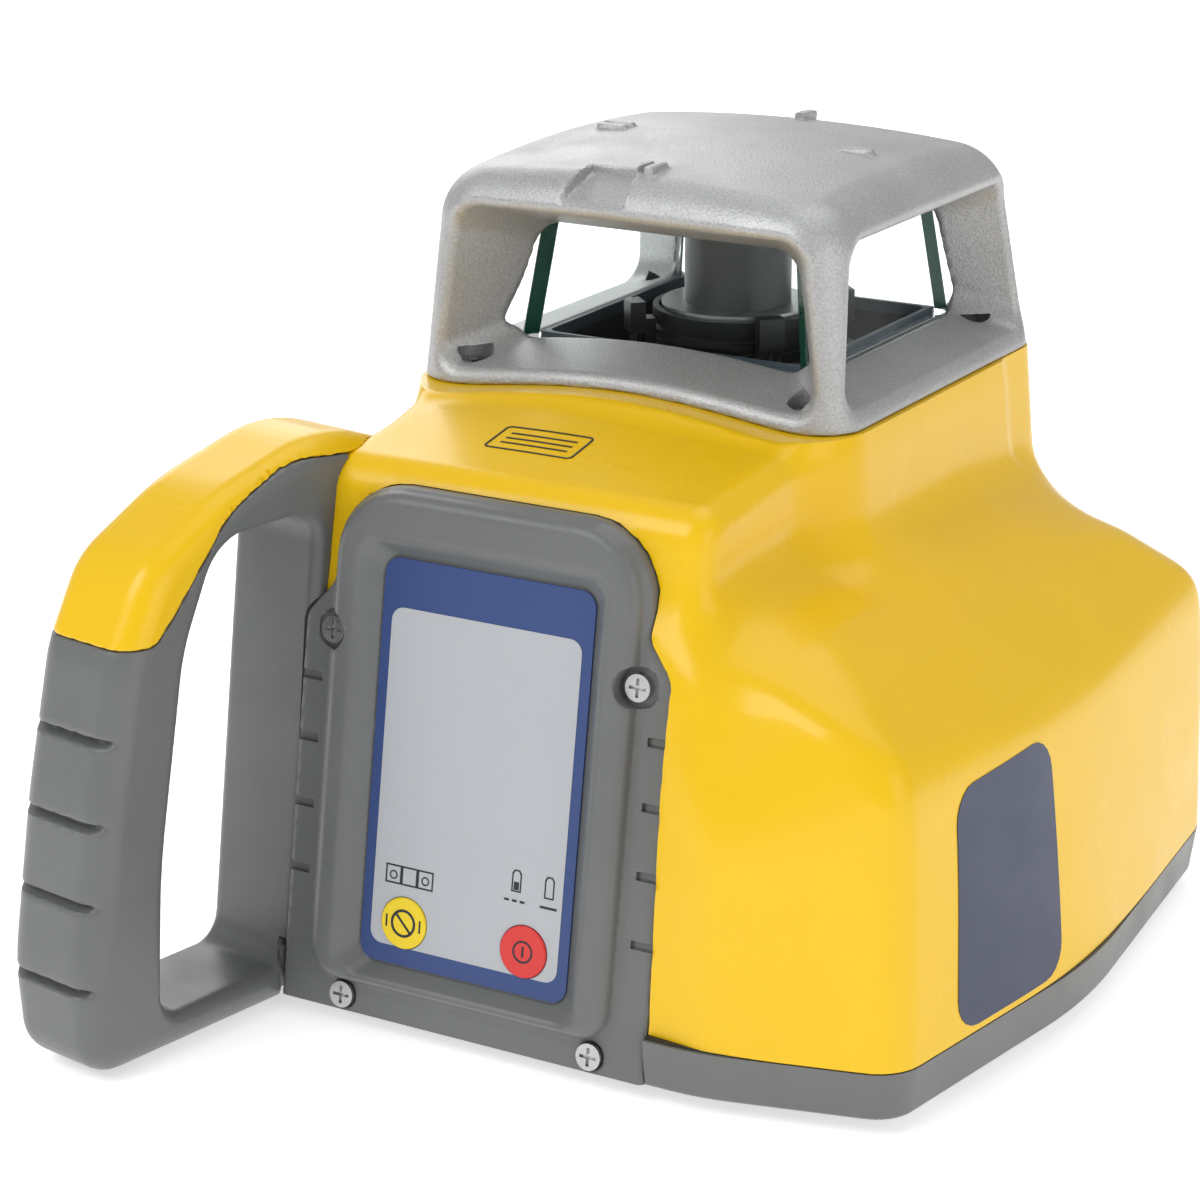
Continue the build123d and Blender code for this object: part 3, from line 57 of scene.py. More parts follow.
def area_light(name, place, aim, size, power, tint=(1, 1, 1)):
    """A square softbox at place, turned towards aim."""
    data = bpy.data.lights.new(name, "AREA")
    data.shape, data.size, data.energy, data.color = "SQUARE", size, power, tint
    lamp = bpy.data.objects.new(name, data)
    scene.collection.objects.link(lamp)
    lamp.location = place
    lamp.rotation_euler = (Vector(aim) - Vector(place)).to_track_quat("-Z", "Y").to_euler()


area_light("key", (-0.55, -1.15, 1.25), (0, -0.03, 0.10), 0.9, 9.5)
area_light("fill", (1.3, -0.45, 0.55), (0.02, -0.02, 0.09), 0.9, 3)
area_light("top", (0.1, 0.35, 1.5), (0, 0, 0.12), 1.1, 4.5)
area_light("back", (-0.9, 0.9, 0.7), (0, 0, 0.1), 0.8, 4)

world = bpy.data.worlds.new("studio")
scene.world = world
world.use_nodes = True
sky = world.node_tree
glow = sky.nodes["Background"]
glow.inputs["Color"].default_value = (1, 1, 1, 1)
glow.inputs["Strength"].default_value = 0.47
seen = sky.nodes.new("ShaderNodeBackground")
seen.inputs["Color"].default_value = (1, 1, 1, 1)
rays, either_sky = sky.nodes.new("ShaderNodeLightPath"), sky.nodes.new("ShaderNodeMixShader")
sky.links.new(rays.outputs["Is Camera Ray"], either_sky.inputs["Fac"])
sky.links.new(glow.outputs["Background"], either_sky.inputs[1])
sky.links.new(seen.outputs["Background"], either_sky.inputs[2])
sky.links.new(either_sky.outputs["Shader"], sky.nodes["World Output"].inputs["Surface"])


# ---- distance fields -----------------------------------------------------------
def rounded(corners, radii, steps=7):
    """A closed outline with each corner rounded by an arc."""
    pts, count = [], len(corners)
    for i, radius in enumerate(radii):
        prev, here, after = (np.array(corners[(i + k) % count], float) for k in (-1, 0, 1))
        if not radius:
            pts.append(here)
            continue
        a, b = (prev - here), (after - here)
        a, b = a / np.linalg.norm(a), b / np.linalg.norm(b)
        half = math.acos(np.clip(a @ b, -1, 1)) / 2
        centre = here + (a + b) / np.linalg.norm(a + b) * radius / math.sin(half)
        start, end = here + a * radius / math.tan(half) - centre, here + b * radius / math.tan(half) - centre
        sweep = math.pi - 2 * half
        for k in range(steps + 1):
            s = k / steps
            blend = math.sin((1 - s) * sweep) * start + math.sin(s * sweep) * end
            pts.append(centre + blend / math.sin(sweep))
    return np.array(pts)


def outline_sd(u, v, outline):
    """Signed distance from points (u, v) to a closed outline."""
    best, inside = 1e9, False
    for (ax, ay), (bx, by) in zip(outline, np.roll(outline, -1, 0)):
        ex, ey = bx - ax, by - ay
        wu, wv = u - ax, v - ay
        t = np.clip((wu * ex + wv * ey) / (ex * ex + ey * ey + 1e-12), 0, 1)
        best = np.minimum(best, (wu - t * ex) ** 2 + (wv - t * ey) ** 2)
        if ey:
            inside = inside ^ (((ay > v) != (by > v)) & (u < ex * (v - ay) / ey + ax))
    return np.where(inside, -1, 1) * np.sqrt(best)


def box_sd(u, v, half_u, half_v, corner=0.0):
    """Signed distance to a centred rectangle with rounded corners."""
    qu, qv = np.abs(u) - half_u + corner, np.abs(v) - half_v + corner
    return np.hypot(np.maximum(qu, 0), np.maximum(qv, 0)) + np.minimum(np.maximum(qu, qv), 0) - corner


def both(a, b, r=0.0):
    """Where both solids are, with the edge between them rounded by r."""
    if not r:
        return np.maximum(a, b)
    return np.minimum(-r, np.maximum(a, b)) + np.hypot(np.maximum(r + a, 0), np.maximum(r + b, 0))


def either(a, b, r=0.0):
    """Both solids joined, with a fillet of radius r."""
    if not r:
        return np.minimum(a, b)
    return np.maximum(r, np.minimum(a, b)) - np.hypot(np.maximum(r - a, 0), np.maximum(r - b, 0))


def cut(a, b, r=0.0):
    """a without b."""
    return both(a, -b, r)


def contour(name, field, low, high, step, material, body, replaced=(), crease=34):
    """Builds the surface of a distance field as a mesh piece, keeping its creases."""
    axes = [np.arange(lo, hi + step, step) for lo, hi in zip(low, high)]
    shape = tuple(len(a) for a in axes)
    grid = np.broadcast_to(field(axes[0][:, None, None], axes[1][None, :, None], axes[2][None, None, :]), shape)
    solid = grid < 0
    origin = np.array(low, float)
    cells = tuple(n - 1 for n in shape)
    at_all, normal_all, cell_all, quads = [], [], [], []
    for axis in range(3):
        ahead = [slice(None)] * 3
        ahead[axis] = slice(1, None)
        behind = [slice(None)] * 3
        behind[axis] = slice(None, -1)
        s0, s1 = solid[tuple(behind)], solid[tuple(ahead)]
        where = np.argwhere(s0 != s1)
        sides = [k for k in range(3) if k != axis]
        keep = np.all((where[:, sides] > 0) & (where[:, sides] < np.array(shape)[sides] - 1), axis=1)
        where = where[keep]
        g0 = grid[tuple(where.T)].astype(float)
        other = where.copy()
        other[:, axis] += 1
        g1 = grid[tuple(other.T)].astype(float)
        lo_t, hi_t = np.zeros(len(where)), np.ones(len(where))
        base = origin + where * step
        for _ in range(5):
            t = np.clip(lo_t + (hi_t - lo_t) * np.clip(g0 / (g0 - g1), 0.1, 0.9), 0, 1)
            p = base.copy()
            p[:, axis] += t * step
            g = field(p[:, 0], p[:, 1], p[:, 2])
            same = (g < 0) == (g0 < 0)
            lo_t, g0 = np.where(same, t, lo_t), np.where(same, g, g0)
            hi_t, g1 = np.where(same, hi_t, t), np.where(same, g1, g)
        t = lo_t + (hi_t - lo_t) * np.clip(g0 / (g0 - g1), 0, 1)
        p = base.copy()
        p[:, axis] += t * step
        slope = []
        for k in range(3):
            d = np.zeros(3)
            d[k] = 0.02
            a, b = p + d, p - d
            slope.append(field(a[:, 0], a[:, 1], a[:, 2]) - field(b[:, 0], b[:, 1], b[:, 2]))
        n = np.stack(slope, 1)
        n /= np.linalg.norm(n, axis=1, keepdims=True) + 1e-12
        ring = []
        for du, dv in ((0, 0), (-1, 0), (-1, -1), (0, -1)):
            c = where.copy()
            c[:, sides[0]] += du
            c[:, sides[1]] += dv
            ring.append(np.ravel_multi_index(tuple(c.T), cells))
            at_all.append(p)
            normal_all.append(n)
            cell_all.append(ring[-1])
        ring = np.stack(ring, 1)
        flip = s0[tuple(where.T)] != (axis == 1)
        ring[flip] = ring[flip][:, ::-1]
        quads.append(ring)
    at, normal, cell = np.concatenate(at_all), np.concatenate(normal_all), np.concatenate(cell_all)
    ids, index = np.unique(cell, return_inverse=True)
    count = len(ids)

    def total(w):
        return np.bincount(index, w, count)

    share = total(np.ones(len(index)))
    centre = np.stack([total(at[:, k]) / share for k in range(3)], 1)
    offset = ((at - centre[index]) * normal).sum(1)
    ata, atb = np.zeros((count, 3, 3)), np.zeros((count, 3))
    for i in range(3):
        atb[:, i] = total(normal[:, i] * offset)
        for j in range(3):
            ata[:, i, j] = total(normal[:, i] * normal[:, j])
    values, vectors = np.linalg.eigh(ata)
    inverse = np.where(values > 0.08 * values[:, 2:3], 1 / np.maximum(values, 1e-9), 0)
    move = np.einsum("nij,nj,nkj,nk->ni", vectors, inverse, vectors, atb)
    corner = origin + np.stack(np.unravel_index(ids, cells), 1) * step
    verts = np.clip(centre + move, corner - 0.02 * step, corner + 1.02 * step)
    faces = np.searchsorted(ids, np.concatenate(quads)[:, ::-1])

    mesh = bpy.data.meshes.new(name)
    mesh.vertices.add(count)
    mesh.vertices.foreach_set("co", (verts * MM).astype(np.float32).ravel())
    mesh.loops.add(faces.size)
    mesh.loops.foreach_set("vertex_index", faces.astype(np.int32).ravel())
    mesh.polygons.add(len(faces))
    mesh.polygons.foreach_set("loop_start", np.arange(0, faces.size, 4, dtype=np.int32))
    mesh.update(calc_edges=True)
    mesh.validate()
    mesh.shade_smooth()
    mesh.set_sharp_from_angle(angle=math.radians(crease))
    mesh.materials.append(material)
    piece = bpy.data.objects.new(name, mesh)
    scene.collection.objects.link(piece)
    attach(piece, body)
    if replaced:
        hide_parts(*replaced)
    return piece


# ---- materials -----------------------------------------------------------------
def material(name, colour, rough, metal=0.0, grain=0.0, grain_size=0.5, bump=0.0, tone=0.04, coat=0.0,
             rough_swing=0.06, extra=None):
    """A procedural finish: tone and roughness drift over the surface, and a fine grain lifts it."""
    m = bpy.data.materials.new(name)
    m.use_nodes = True
    tree = m.node_tree
    shader = tree.nodes["Principled BSDF"]
    shader.inputs["Metallic"].default_value = metal
    shader.inputs["Coat Weight"].default_value = coat
    shader.inputs["Coat Roughness"].default_value = 0.08
    place = tree.nodes.new("ShaderNodeTexCoord")

    def noise(size_mm, detail=3.0):
        n = tree.nodes.new("ShaderNodeTexNoise")
        n.inputs["Scale"].default_value = 1000 / size_mm
        n.inputs["Detail"].default_value = detail
        tree.links.new(place.outputs["Object"], n.inputs["Vector"])
        return n.outputs["Fac"]

    def ramp(source, low, high):
        r = tree.nodes.new("ShaderNodeMapRange")
        r.inputs["From Min"].default_value, r.inputs["From Max"].default_value = 0.3, 0.7
        r.inputs["To Min"].default_value, r.inputs["To Max"].default_value = low, high
        tree.links.new(source, r.inputs["Value"])
        return r.outputs["Result"]

    mix = tree.nodes.new("ShaderNodeMix")
    mix.data_type = "RGBA"
    dark = [c * (1 - 2 * tone) for c in colour]
    light = [min(1, c * (1 + tone)) for c in colour]
    mix.inputs["A"].default_value = (*dark, 1)
    mix.inputs["B"].default_value = (*light, 1)
    tree.links.new(ramp(noise(38), 0, 1), mix.inputs["Factor"])
    result = mix.outputs["Result"]
    if grain:
        fine = tree.nodes.new("ShaderNodeMix")
        fine.data_type, fine.blend_type = "RGBA", "MULTIPLY"
        fine.inputs["Factor"].default_value = grain
        tree.links.new(result, fine.inputs["A"])
        tree.links.new(ramp(noise(grain_size, 2), 0.45, 1.5), fine.inputs["B"])
        result = fine.outputs["Result"]
    tree.links.new(result, shader.inputs["Base Color"])
    tree.links.new(ramp(noise(14), rough - rough_swing, rough + rough_swing), shader.inputs["Roughness"])
    if bump:
        b = tree.nodes.new("ShaderNodeBump")
        b.inputs["Strength"].default_value = bump
        b.inputs["Distance"].default_value = grain_size * MM * 0.35
        tree.links.new(noise(grain_size, 2), b.inputs["Height"])
        tree.links.new(b.outputs["Normal"], shader.inputs["Normal"])
    if extra:
        for socket, value in extra.items():
            shader.inputs[socket].default_value = value
    return m


YELLOW = material("yellow_plastic", (0.90, 0.555, 0.001), 0.30, bump=0.06, grain_size=0.9, tone=0.012,
                  coat=0.12, rough_swing=0.04, extra={"Specular IOR Level": 0.38})
GREY = material("grey_plastic", (0.150, 0.156, 0.155), 0.36, bump=0.16, grain_size=0.5, tone=0.03, grain=0.06)
CAST = material("cast_aluminium", (0.47, 0.475, 0.48), 0.44, metal=0.45, bump=0.55,
                grain_size=0.55, grain=0.30, tone=0.05)
MACHINED = material("machined_aluminium", (0.62, 0.63, 0.64), 0.32, metal=0.9, bump=0.12,
                    grain_size=0.3, grain=0.10)
STEEL = material("steel", (0.52, 0.52, 0.53), 0.26, metal=1.0, bump=0.10, grain_size=0.3, grain=0.12)
BRASS = material("brass", (0.72, 0.50, 0.20), 0.28, metal=1.0, bump=0.08, grain_size=0.3, grain=0.10)
RUBBER = material("rubber", (0.028, 0.028, 0.029), 0.62, bump=0.25, grain_size=0.6, grain=0.10)
BLACK = material("black_plastic", (0.022, 0.022, 0.024), 0.38, bump=0.15, grain_size=0.4, grain=0.08)
SHROUD = material("shroud_grey", (0.060, 0.062, 0.066), 0.45, bump=0.18, grain_size=0.5, grain=0.08)
ROTOR = material("rotor_grey", (0.085, 0.086, 0.090), 0.42, bump=0.15, grain_size=0.4, grain=0.08)
BOARD = material("circuit_board", (0.012, 0.12, 0.05), 0.35, bump=0.12, grain_size=0.8, grain=0.15)
CELL = material("cell_wrap", (0.05, 0.05, 0.06), 0.25, bump=0.05, grain_size=0.6, grain=0.05)
BLUE = material("blue_film", (0.030, 0.065, 0.215), 0.40, bump=0.08, grain_size=0.4, grain=0.06, tone=0.02)
NAVY = material("navy_film", (0.018, 0.030, 0.085), 0.34, bump=0.06, grain_size=0.5, grain=0.05, tone=0.02)
FIELD = material("field_film", (0.47, 0.49, 0.52), 0.42, bump=0.10, grain_size=0.4, grain=0.04, tone=0.01)
RED = material("red_button", (0.70, 0.035, 0.030), 0.34, bump=0.08, grain_size=0.4, grain=0.05, tone=0.02)
SUN = material("yellow_button", (0.90, 0.66, 0.015), 0.36, bump=0.08, grain_size=0.4, grain=0.05, tone=0.02)
INK = material("ink", (0.016, 0.018, 0.026), 0.45, bump=0.05, grain_size=0.3, grain=0.05)
GASKET = material("gasket_grey", (0.10, 0.125, 0.155), 0.5, bump=0.15, grain_size=0.5, grain=0.08)
GLASS = material("window_glass", (0.96, 0.995, 0.98), 0.03, rough_swing=0.01, tone=0.01,
                 extra={"Transmission Weight": 1.0, "IOR": 1.1})
OPTIC = material("optic_glass", (0.80, 0.88, 0.95), 0.03, rough_swing=0.01, tone=0.01,
                 extra={"Transmission Weight": 0.85, "IOR": 1.5})
PANE_EDGE = material("pane_edge", (0.010, 0.075, 0.050), 0.15, rough_swing=0.02, tone=0.02)

FINISHES = {
    YELLOW: ["upper_housing", "handle_cover"],
    GREY: ["base_housing", "handle", "panel_bezel", "battery_door"],
    CAST: ["lighthouse"],
    MACHINED: ["chassis", "gimbal_ring", "laser_cage", "rotor_flange"],
    STEEL: ["base_screws", "battery_springs", "bezel_screws", "clip_pins", "door_hinge_pin", "drive_motor",
            "handle_screws", "insert_screws", "lead_screw_front", "lead_screw_side", "level_motor_front",
            "level_motor_side", "lighthouse_screws", "pivot_pins", "spindle", "spindle_bearings"],
    BRASS: ["laser_module", "level_nut_front", "level_nut_side", "motor_pulley", "tripod_insert"],
    RUBBER: ["drive_belt", "housing_seal", "jack_cap", "rubber_feet"],
    BLACK: ["battery_tray", "charge_jack", "clip_blocks", "coil_ring", "door_catch", "platform",
            "rotor_pulley"],
    SHROUD: ["inner_shroud"],
    ROTOR: ["rotor_head"],
    BOARD: ["keypad_board", "main_board"],
    CELL: ["battery_cells"],
    BLUE: ["keypad_overlay"],
    RED: ["power_button"],
    SUN: ["mode_button"],
    GASKET: ["window_gasket"],
    GLASS: ["window_back", "window_front", "window_left", "window_right"],
    OPTIC: ["beam_window", "collimating_lens", "level_vials", "pentaprism"],
}
for finish, names in FINISHES.items():
    for node in names:
        data = nodes[node].data
        data.materials.clear()
        data.materials.append(finish)
        bevel = nodes[node].modifiers.new("edges", "BEVEL")
        bevel.width, bevel.segments, bevel.limit_method = 0.25 * MM, 2, "ANGLE"
        bevel.angle_limit = math.radians(40)
        bevel.harden_normals = False

# ---- shared places -------------------------------------------------------------
WALL = 4.0
SHELL_BOTTOM = 16.4
TOWER_TOP = 139.0
TILT = math.radians(9)
PANEL_Y, PANEL_Z = -134.6, 18.3
SPLAY = math.radians(10)
BUTTON_X, BUTTON_UP = 16.4, 10.4
DOOR_X, DOOR_Z = 81, 48.5
JACK_X, JACK_Z = -54, 34

PLAN = rounded(
    [(-54, -138), (64, -137.5), (109, -126), (121.5, -44), (111.5, 57), (-76, 57), (-78, -24), (-54, -84)],
    [9, 60, 12, 150, 13, 14, 50, 40],
)
FENDER_SECTION = rounded(
    [(0, -10), (0, 108.5), (74, 107), (92, 97), (112, 81), (123.5, 10), (123.5, -10)], [0, 0, 30, 22, 18, 0, 0],
)
FENDER_SIDE = rounded(
    [(57, -10), (56.5, 84), (38, 103), (0, 112), (-100, 113.5), (-122, 97), (-138, 60), (-139, -10)],
    [0, 12, 30, 60, 30, 20, 60, 0],
)
FENDER_PLAN = rounded(
    [(20, 90), (20, -119), (49, -121), (64, -140), (135, -140), (135, 90)], [0, 0, 8, 6, 0, 0],
)
BEZEL_OUTLINE = rounded(
    [(-50, -22), (-50, 80), (-42.5, 88), (-42.5, 113), (42.5, 113), (42.5, 88), (50, 80), (50, -22)],
    [0, 6, 5, 18, 18, 5, 6, 0],
)


def panel_place(y, z):
    """Height up the panel and level above its film."""
    along = (y - PANEL_Y) * math.sin(TILT) + (z - PANEL_Z) * math.cos(TILT)
    level = -(y - PANEL_Y) * math.cos(TILT) + (z - PANEL_Z) * math.sin(TILT)
    return along, level


def tower_sd(x, y, z):
    share = (z - SHELL_BOTTOM) / (TOWER_TOP - SHELL_BOTTOM)
    left, right = -78 + share * 18.2, 72 - share * 12.2
    front, back = -74 + share * 13, 60 - share * 6
    corner = 20 - 10 * share
    middle_x, middle_y = (left + right) / 2, (front + back) / 2
    return box_sd(x - middle_x, y - middle_y, (right - left) / 2, (back - front) / 2, corner) * 0.985


def hood_z(x, y):
    """The crowned hood above the control panel."""
    ahead = np.maximum(-61 - y, 0)
    crown = 4.0 * np.maximum(1 - (x / 47) ** 2, 0) ** 1.5 * np.clip(1 - ahead / 60, 0, 1) ** 2
    return TOWER_TOP + crown - ahead * math.tan(math.radians(6.6))


def nose_sd(x, y, z):
    along, level = panel_place(y, z)
    walls = both(np.abs(x) - 53.5, level + 3.0, 7)
    walls = np.maximum(walls, y - 20)
    return both(walls, (z - hood_z(x, y)) * 0.985, 6.5)


def fender_sd(x, y, z):
    shape = both(outline_sd(x, z, FENDER_SECTION), outline_sd(y, z, FENDER_SIDE), 9)
    return both(shape, outline_sd(x, y, FENDER_PLAN), 5)


def body_sd(x, y, z, inset=0.0):
    """The outside of the yellow housing, shrunk by inset."""
    column = either(tower_sd(x, y, z) + inset, nose_sd(x, y, z) + inset, 14)
    shape = either(column, fender_sd(x, y, z) + inset, 20)
    plan = outline_sd(x, y, PLAN) + 4 * (z - SHELL_BOTTOM) / 132 + inset
    return both(shape, plan, 6)


def bezel_prism_sd(x, y, z, grow):
    along, level = panel_place(y, z)
    return np.maximum(outline_sd(x, along, BEZEL_OUTLINE) - grow, -8.3 - level)


def housing_sd(x, y, z):
    outside = body_sd(x, y, z)
    shell = cut(outside, body_sd(x, y, z, WALL))
    shell = np.maximum(shell, SHELL_BOTTOM - z)
    top = z - np.where(y < -20, hood_z(x, np.maximum(y, -61.0)), TOWER_TOP)
    lid = both(both(outside, top), -(z - TOWER_TOP + WALL))
    shell = either(np.maximum(shell, top), lid)
    shell = cut(shell, np.maximum(box_sd(x, y + 3.5, 51, 42, 12), TOWER_TOP - 20 - z))
    shell = cut(shell, bezel_prism_sd(x, y, z, 0.35), 0.5)
    door = box_sd(x - DOOR_X, z - DOOR_Z, 17.85, 29.35, 12)
    shell = cut(shell, np.maximum(door, 55 - y))
    shell = cut(shell, np.maximum(box_sd(x - DOOR_X, z - DOOR_Z, 15.5, 27, 10), 41 - y))
    jack = np.hypot(x - JACK_X, z - JACK_Z) - 6.7
    return cut(shell, np.maximum(jack, 36 - y))


housing_step = 1.3
contour("housing_shell", housing_sd, (-80, -142, 13), (125, 61, 146), housing_step, YELLOW, "housing",
        ["upper_housing"])

# ---- control panel frame -------------------------------------------------------
FRAME_OUTLINE = rounded([(-41, -6.5), (-41, 112.5), (41, 112.5), (41, -6.5)], [8, 17, 17, 8])
FRAME_SCREWS = ((-41, 77, 4.8), (41, 77, 4.8), (-32, -10.2, 3.4), (36, -10.2, 3.4))
FRAME_GROOVES = (18, 34, 50, 65)


def frame_sd(x, y, z):
    along, level = panel_place(y, z)
    plate = both(outline_sd(x, along, BEZEL_OUTLINE), np.abs(level + 4) - 4, 1.6)
    lift = outline_sd(x, along, FRAME_OUTLINE)
    plate = either(plate, both(lift * 0.95 + np.maximum(level, 0) * 0.28, np.abs(level + 1) - 5, 2.2), 1.2)
    pocket = box_sd(x, along - 48.25, 28.65 + (level + 0.6) * 0.9, 48.65 + (level + 0.6) * 0.85, 5)
    plate = cut(plate, both(pocket * 0.74, -0.6 - level), 1.3)
    hollow = np.maximum(box_sd(x, along - 48, 32, 46, 5), level + 3.1)
    plate = cut(plate, hollow)
    for px in (-BUTTON_X, BUTTON_X):
        plate = cut(plate, np.hypot(x - px, along - BUTTON_UP) - 6.3)
    for px, pa, r in FRAME_SCREWS:
        plate = cut(plate, both(np.hypot(x - px, along - pa) - r, -1.0 - level), 0.6)
    for step in FRAME_GROOVES:
        groove = both(np.abs(along - step) - 1.0, both(44 - np.abs(x), -1.1 - level))
        plate = cut(plate, groove, 0.4)
    return np.maximum(plate, 4.3 - z)


frame_step = 0.85
contour("panel_frame", frame_sd, (-52, -144, 2), (52, -110, 132), frame_step, GREY, "housing",
        ["panel_bezel"])


# ---- lighthouse casting --------------------------------------------------------
def glass_half(z):
    return 39.9 - (z - 147) / 30 * 3.9


def window_sd(u, v, z, drift=0.0, bow=0.0):
    """One flared opening: u runs across it and v points outwards."""
    share = (v - 35) / 37
    low, high = 148.9 - share * 9 + bow, 176 + share * 12.5
    half_low, half_high = 37.5 + share * 22.5, 34 + share * 21
    u = u + drift * np.maximum(share, 0)
    middle, tall = (low + high) / 2, (high - low) / 2
    lean = (z - middle) / np.maximum(tall, 1)
    half = half_low + (half_high - half_low) * np.clip((lean + 1) / 2, 0, 1)
    return np.maximum(box_sd(u, z - middle, half, tall, 6.5), 30 - v) * 0.9


SIGHT_RIDGES = ((-1.9, -46.5, 1), (1.9, -46.5, 1), (0, 36, 1), (-34, -4.9, 0), (-34, -1.1, 0), (34, -3, 0))
SILL_SCREWS_X, SILL_SCREWS_Y = (-46, 46), (-52, 42)


def casting_sd(x, y, z):
    share = (z - TOWER_TOP) / 59.5
    centre = -3.5 - share * 4.0
    walls = box_sd(x, y - centre, 59.8 - share * 5.5, 57.5 - share * 5.8, 11 + share * 2.5) * 0.98
    roof = (z - 195.9 + 2.6 * ((x / 49) ** 2 + ((y + 6.4) / 49) ** 2)) * 0.97
    solid = both(walls, roof, 10)
    for px, py, turn in SIGHT_RIDGES:
        ridge = box_sd(x - px, y - py, 1.2 if turn else 4.0, 4.0 if turn else 1.2, 0.7)
        crest = np.maximum(roof - 1.9, z - 195.9)
        solid = either(solid, both(both(ridge, crest, 0.6), 180 - z), 1.0)
    solid = both(solid, -(z - np.where(y < -20, hood_z(x, np.maximum(y, -61.0)) + 0.15, TOWER_TOP + 0.15)), 0.8)
    pocket = box_sd(x, y, 38.3, 38.3, 1)
    solid = cut(solid, both(pocket, z - 148))
    half = glass_half(z)
    glass = (np.maximum(np.abs(x), np.abs(y)) - half - 0.3) * 0.99
    solid = cut(solid, both(glass, np.abs(z - 162) - 15.2))
    dome = box_sd(x, y, 34 - (z - 177) * 0.2, 34 - (z - 177) * 0.2, 12)
    solid = cut(solid, both(dome, np.abs(z - 184.5) - 8), 1)
    bow = 0.85 * (hood_z(x, -61.0) - TOWER_TOP)
    for u, v, drift, rise in ((x, -y, 0, bow), (x, y, 0, 0), (y, -x, 6, 0), (y, x, 6, 0)):
        solid = cut(solid, window_sd(u, v, z, drift, rise), 2.4)
    notch = box_sd(x + 9, z - 194.5 - (y + 58) * 0.42, 8.5 - np.maximum(y + 58, 0) * 0.12, 7.5, 1.0)
    solid = cut(solid, both(notch, y + 45.5), 0.8)
    for px in SILL_SCREWS_X:
        for py in SILL_SCREWS_Y:
            spot = np.hypot(x - px, y - py)
            solid = either(solid, both(both(spot - 6.4, z - 142.9), 139.3 - z), 1)
            solid = cut(solid, both(spot - 4.6, both(140.4 - z, z - 147)), 0.5)
    return solid


casting_step = 0.8
contour("lighthouse_casting", casting_sd, (-62, -64, 137), (62, 57, 200), casting_step, CAST, "housing",
        ["lighthouse"])

# ---- carrying handle -----------------------------------------------------------
GRIP = rounded(
    [(-50, 1.2), (67.4, 1.2), (69.3, 26), (62.5, 66), (54.5, 100), (44, 119.5), (19, 132.2), (-15, 141),
     (-50, 128)],
    [8, 10, 60, 160, 30, 22, 60, 40, 12],
)
HAND_HOLE = rounded(
    [(-9.5, 121.5), (22.5, 121.5), (34, 98), (43.5, 48), (46, 10.8), (4.2, 10.8)], [7, 14, 50, 160, 6, 7],
)
COVER_ZONE = rounded(
    [(90, 102), (44, 102), (38, 107.5), (20, 127.2), (-2, 135.3), (-22, 133.2), (-90, 120), (-90, 170),
     (90, 170)],
    [0, 5, 8, 30, 30, 30, 0, 0, 0],
)
FINGER_GROOVES = ((69.2, 24), (66.8, 44), (63.4, 62.5), (59.2, 81.5))
ROOT_X, ROOT_Y = -47.5 - 15 * math.cos(SPLAY), -129 + 15 * math.sin(SPLAY)


def grip_place(x, y):
    """Distance out along the handle and across it."""
    out = -(x - ROOT_X) * math.sin(SPLAY) - (y - ROOT_Y) * math.cos(SPLAY)
    across = (x - ROOT_X) * math.cos(SPLAY) - (y - ROOT_Y) * math.sin(SPLAY)
    return out, across


def grip_sd(x, y, z):
    out, across = grip_place(x, y)
    slab = np.abs(across) - 14.6
    shape = both(both(slab, -outline_sd(out, z, HAND_HOLE), 3.5), outline_sd(out, z, GRIP) + 0.4, 7)
    for po, pz in FINGER_GROOVES:
        groove = np.hypot((out - po) * 0.32, z - pz) - 1.1
        shape = cut(shape, groove, 0.7)
    shape = cut(shape, body_sd(x, y, z) - 0.1)
    return cut(shape, np.maximum(bezel_prism_sd(x, y, z, 0.2), -8.3))


def handle_sd(x, y, z):
    out, across = grip_place(x, y)
    shape = both(grip_sd(x, y, z), -outline_sd(out, z, COVER_ZONE) + 0.15, 0.5)
    return cut(shape, both(outline_sd(x, y, PLAN) - 0.1, z - SHELL_BOTTOM))


def cover_sd(x, y, z):
    out, across = grip_place(x, y)
    return both(grip_sd(x, y, z), outline_sd(out, z, COVER_ZONE) + 0.15, 0.7)


handle_step = 0.9
contour("carry_handle", handle_sd, (-92, -199, 2), (-40, -70, 142), handle_step, GREY, "housing",
        ["handle"])
contour("grip_cover", cover_sd, (-92, -199, 98), (-40, -70, 144), handle_step, YELLOW, "housing",
        ["handle_cover"])


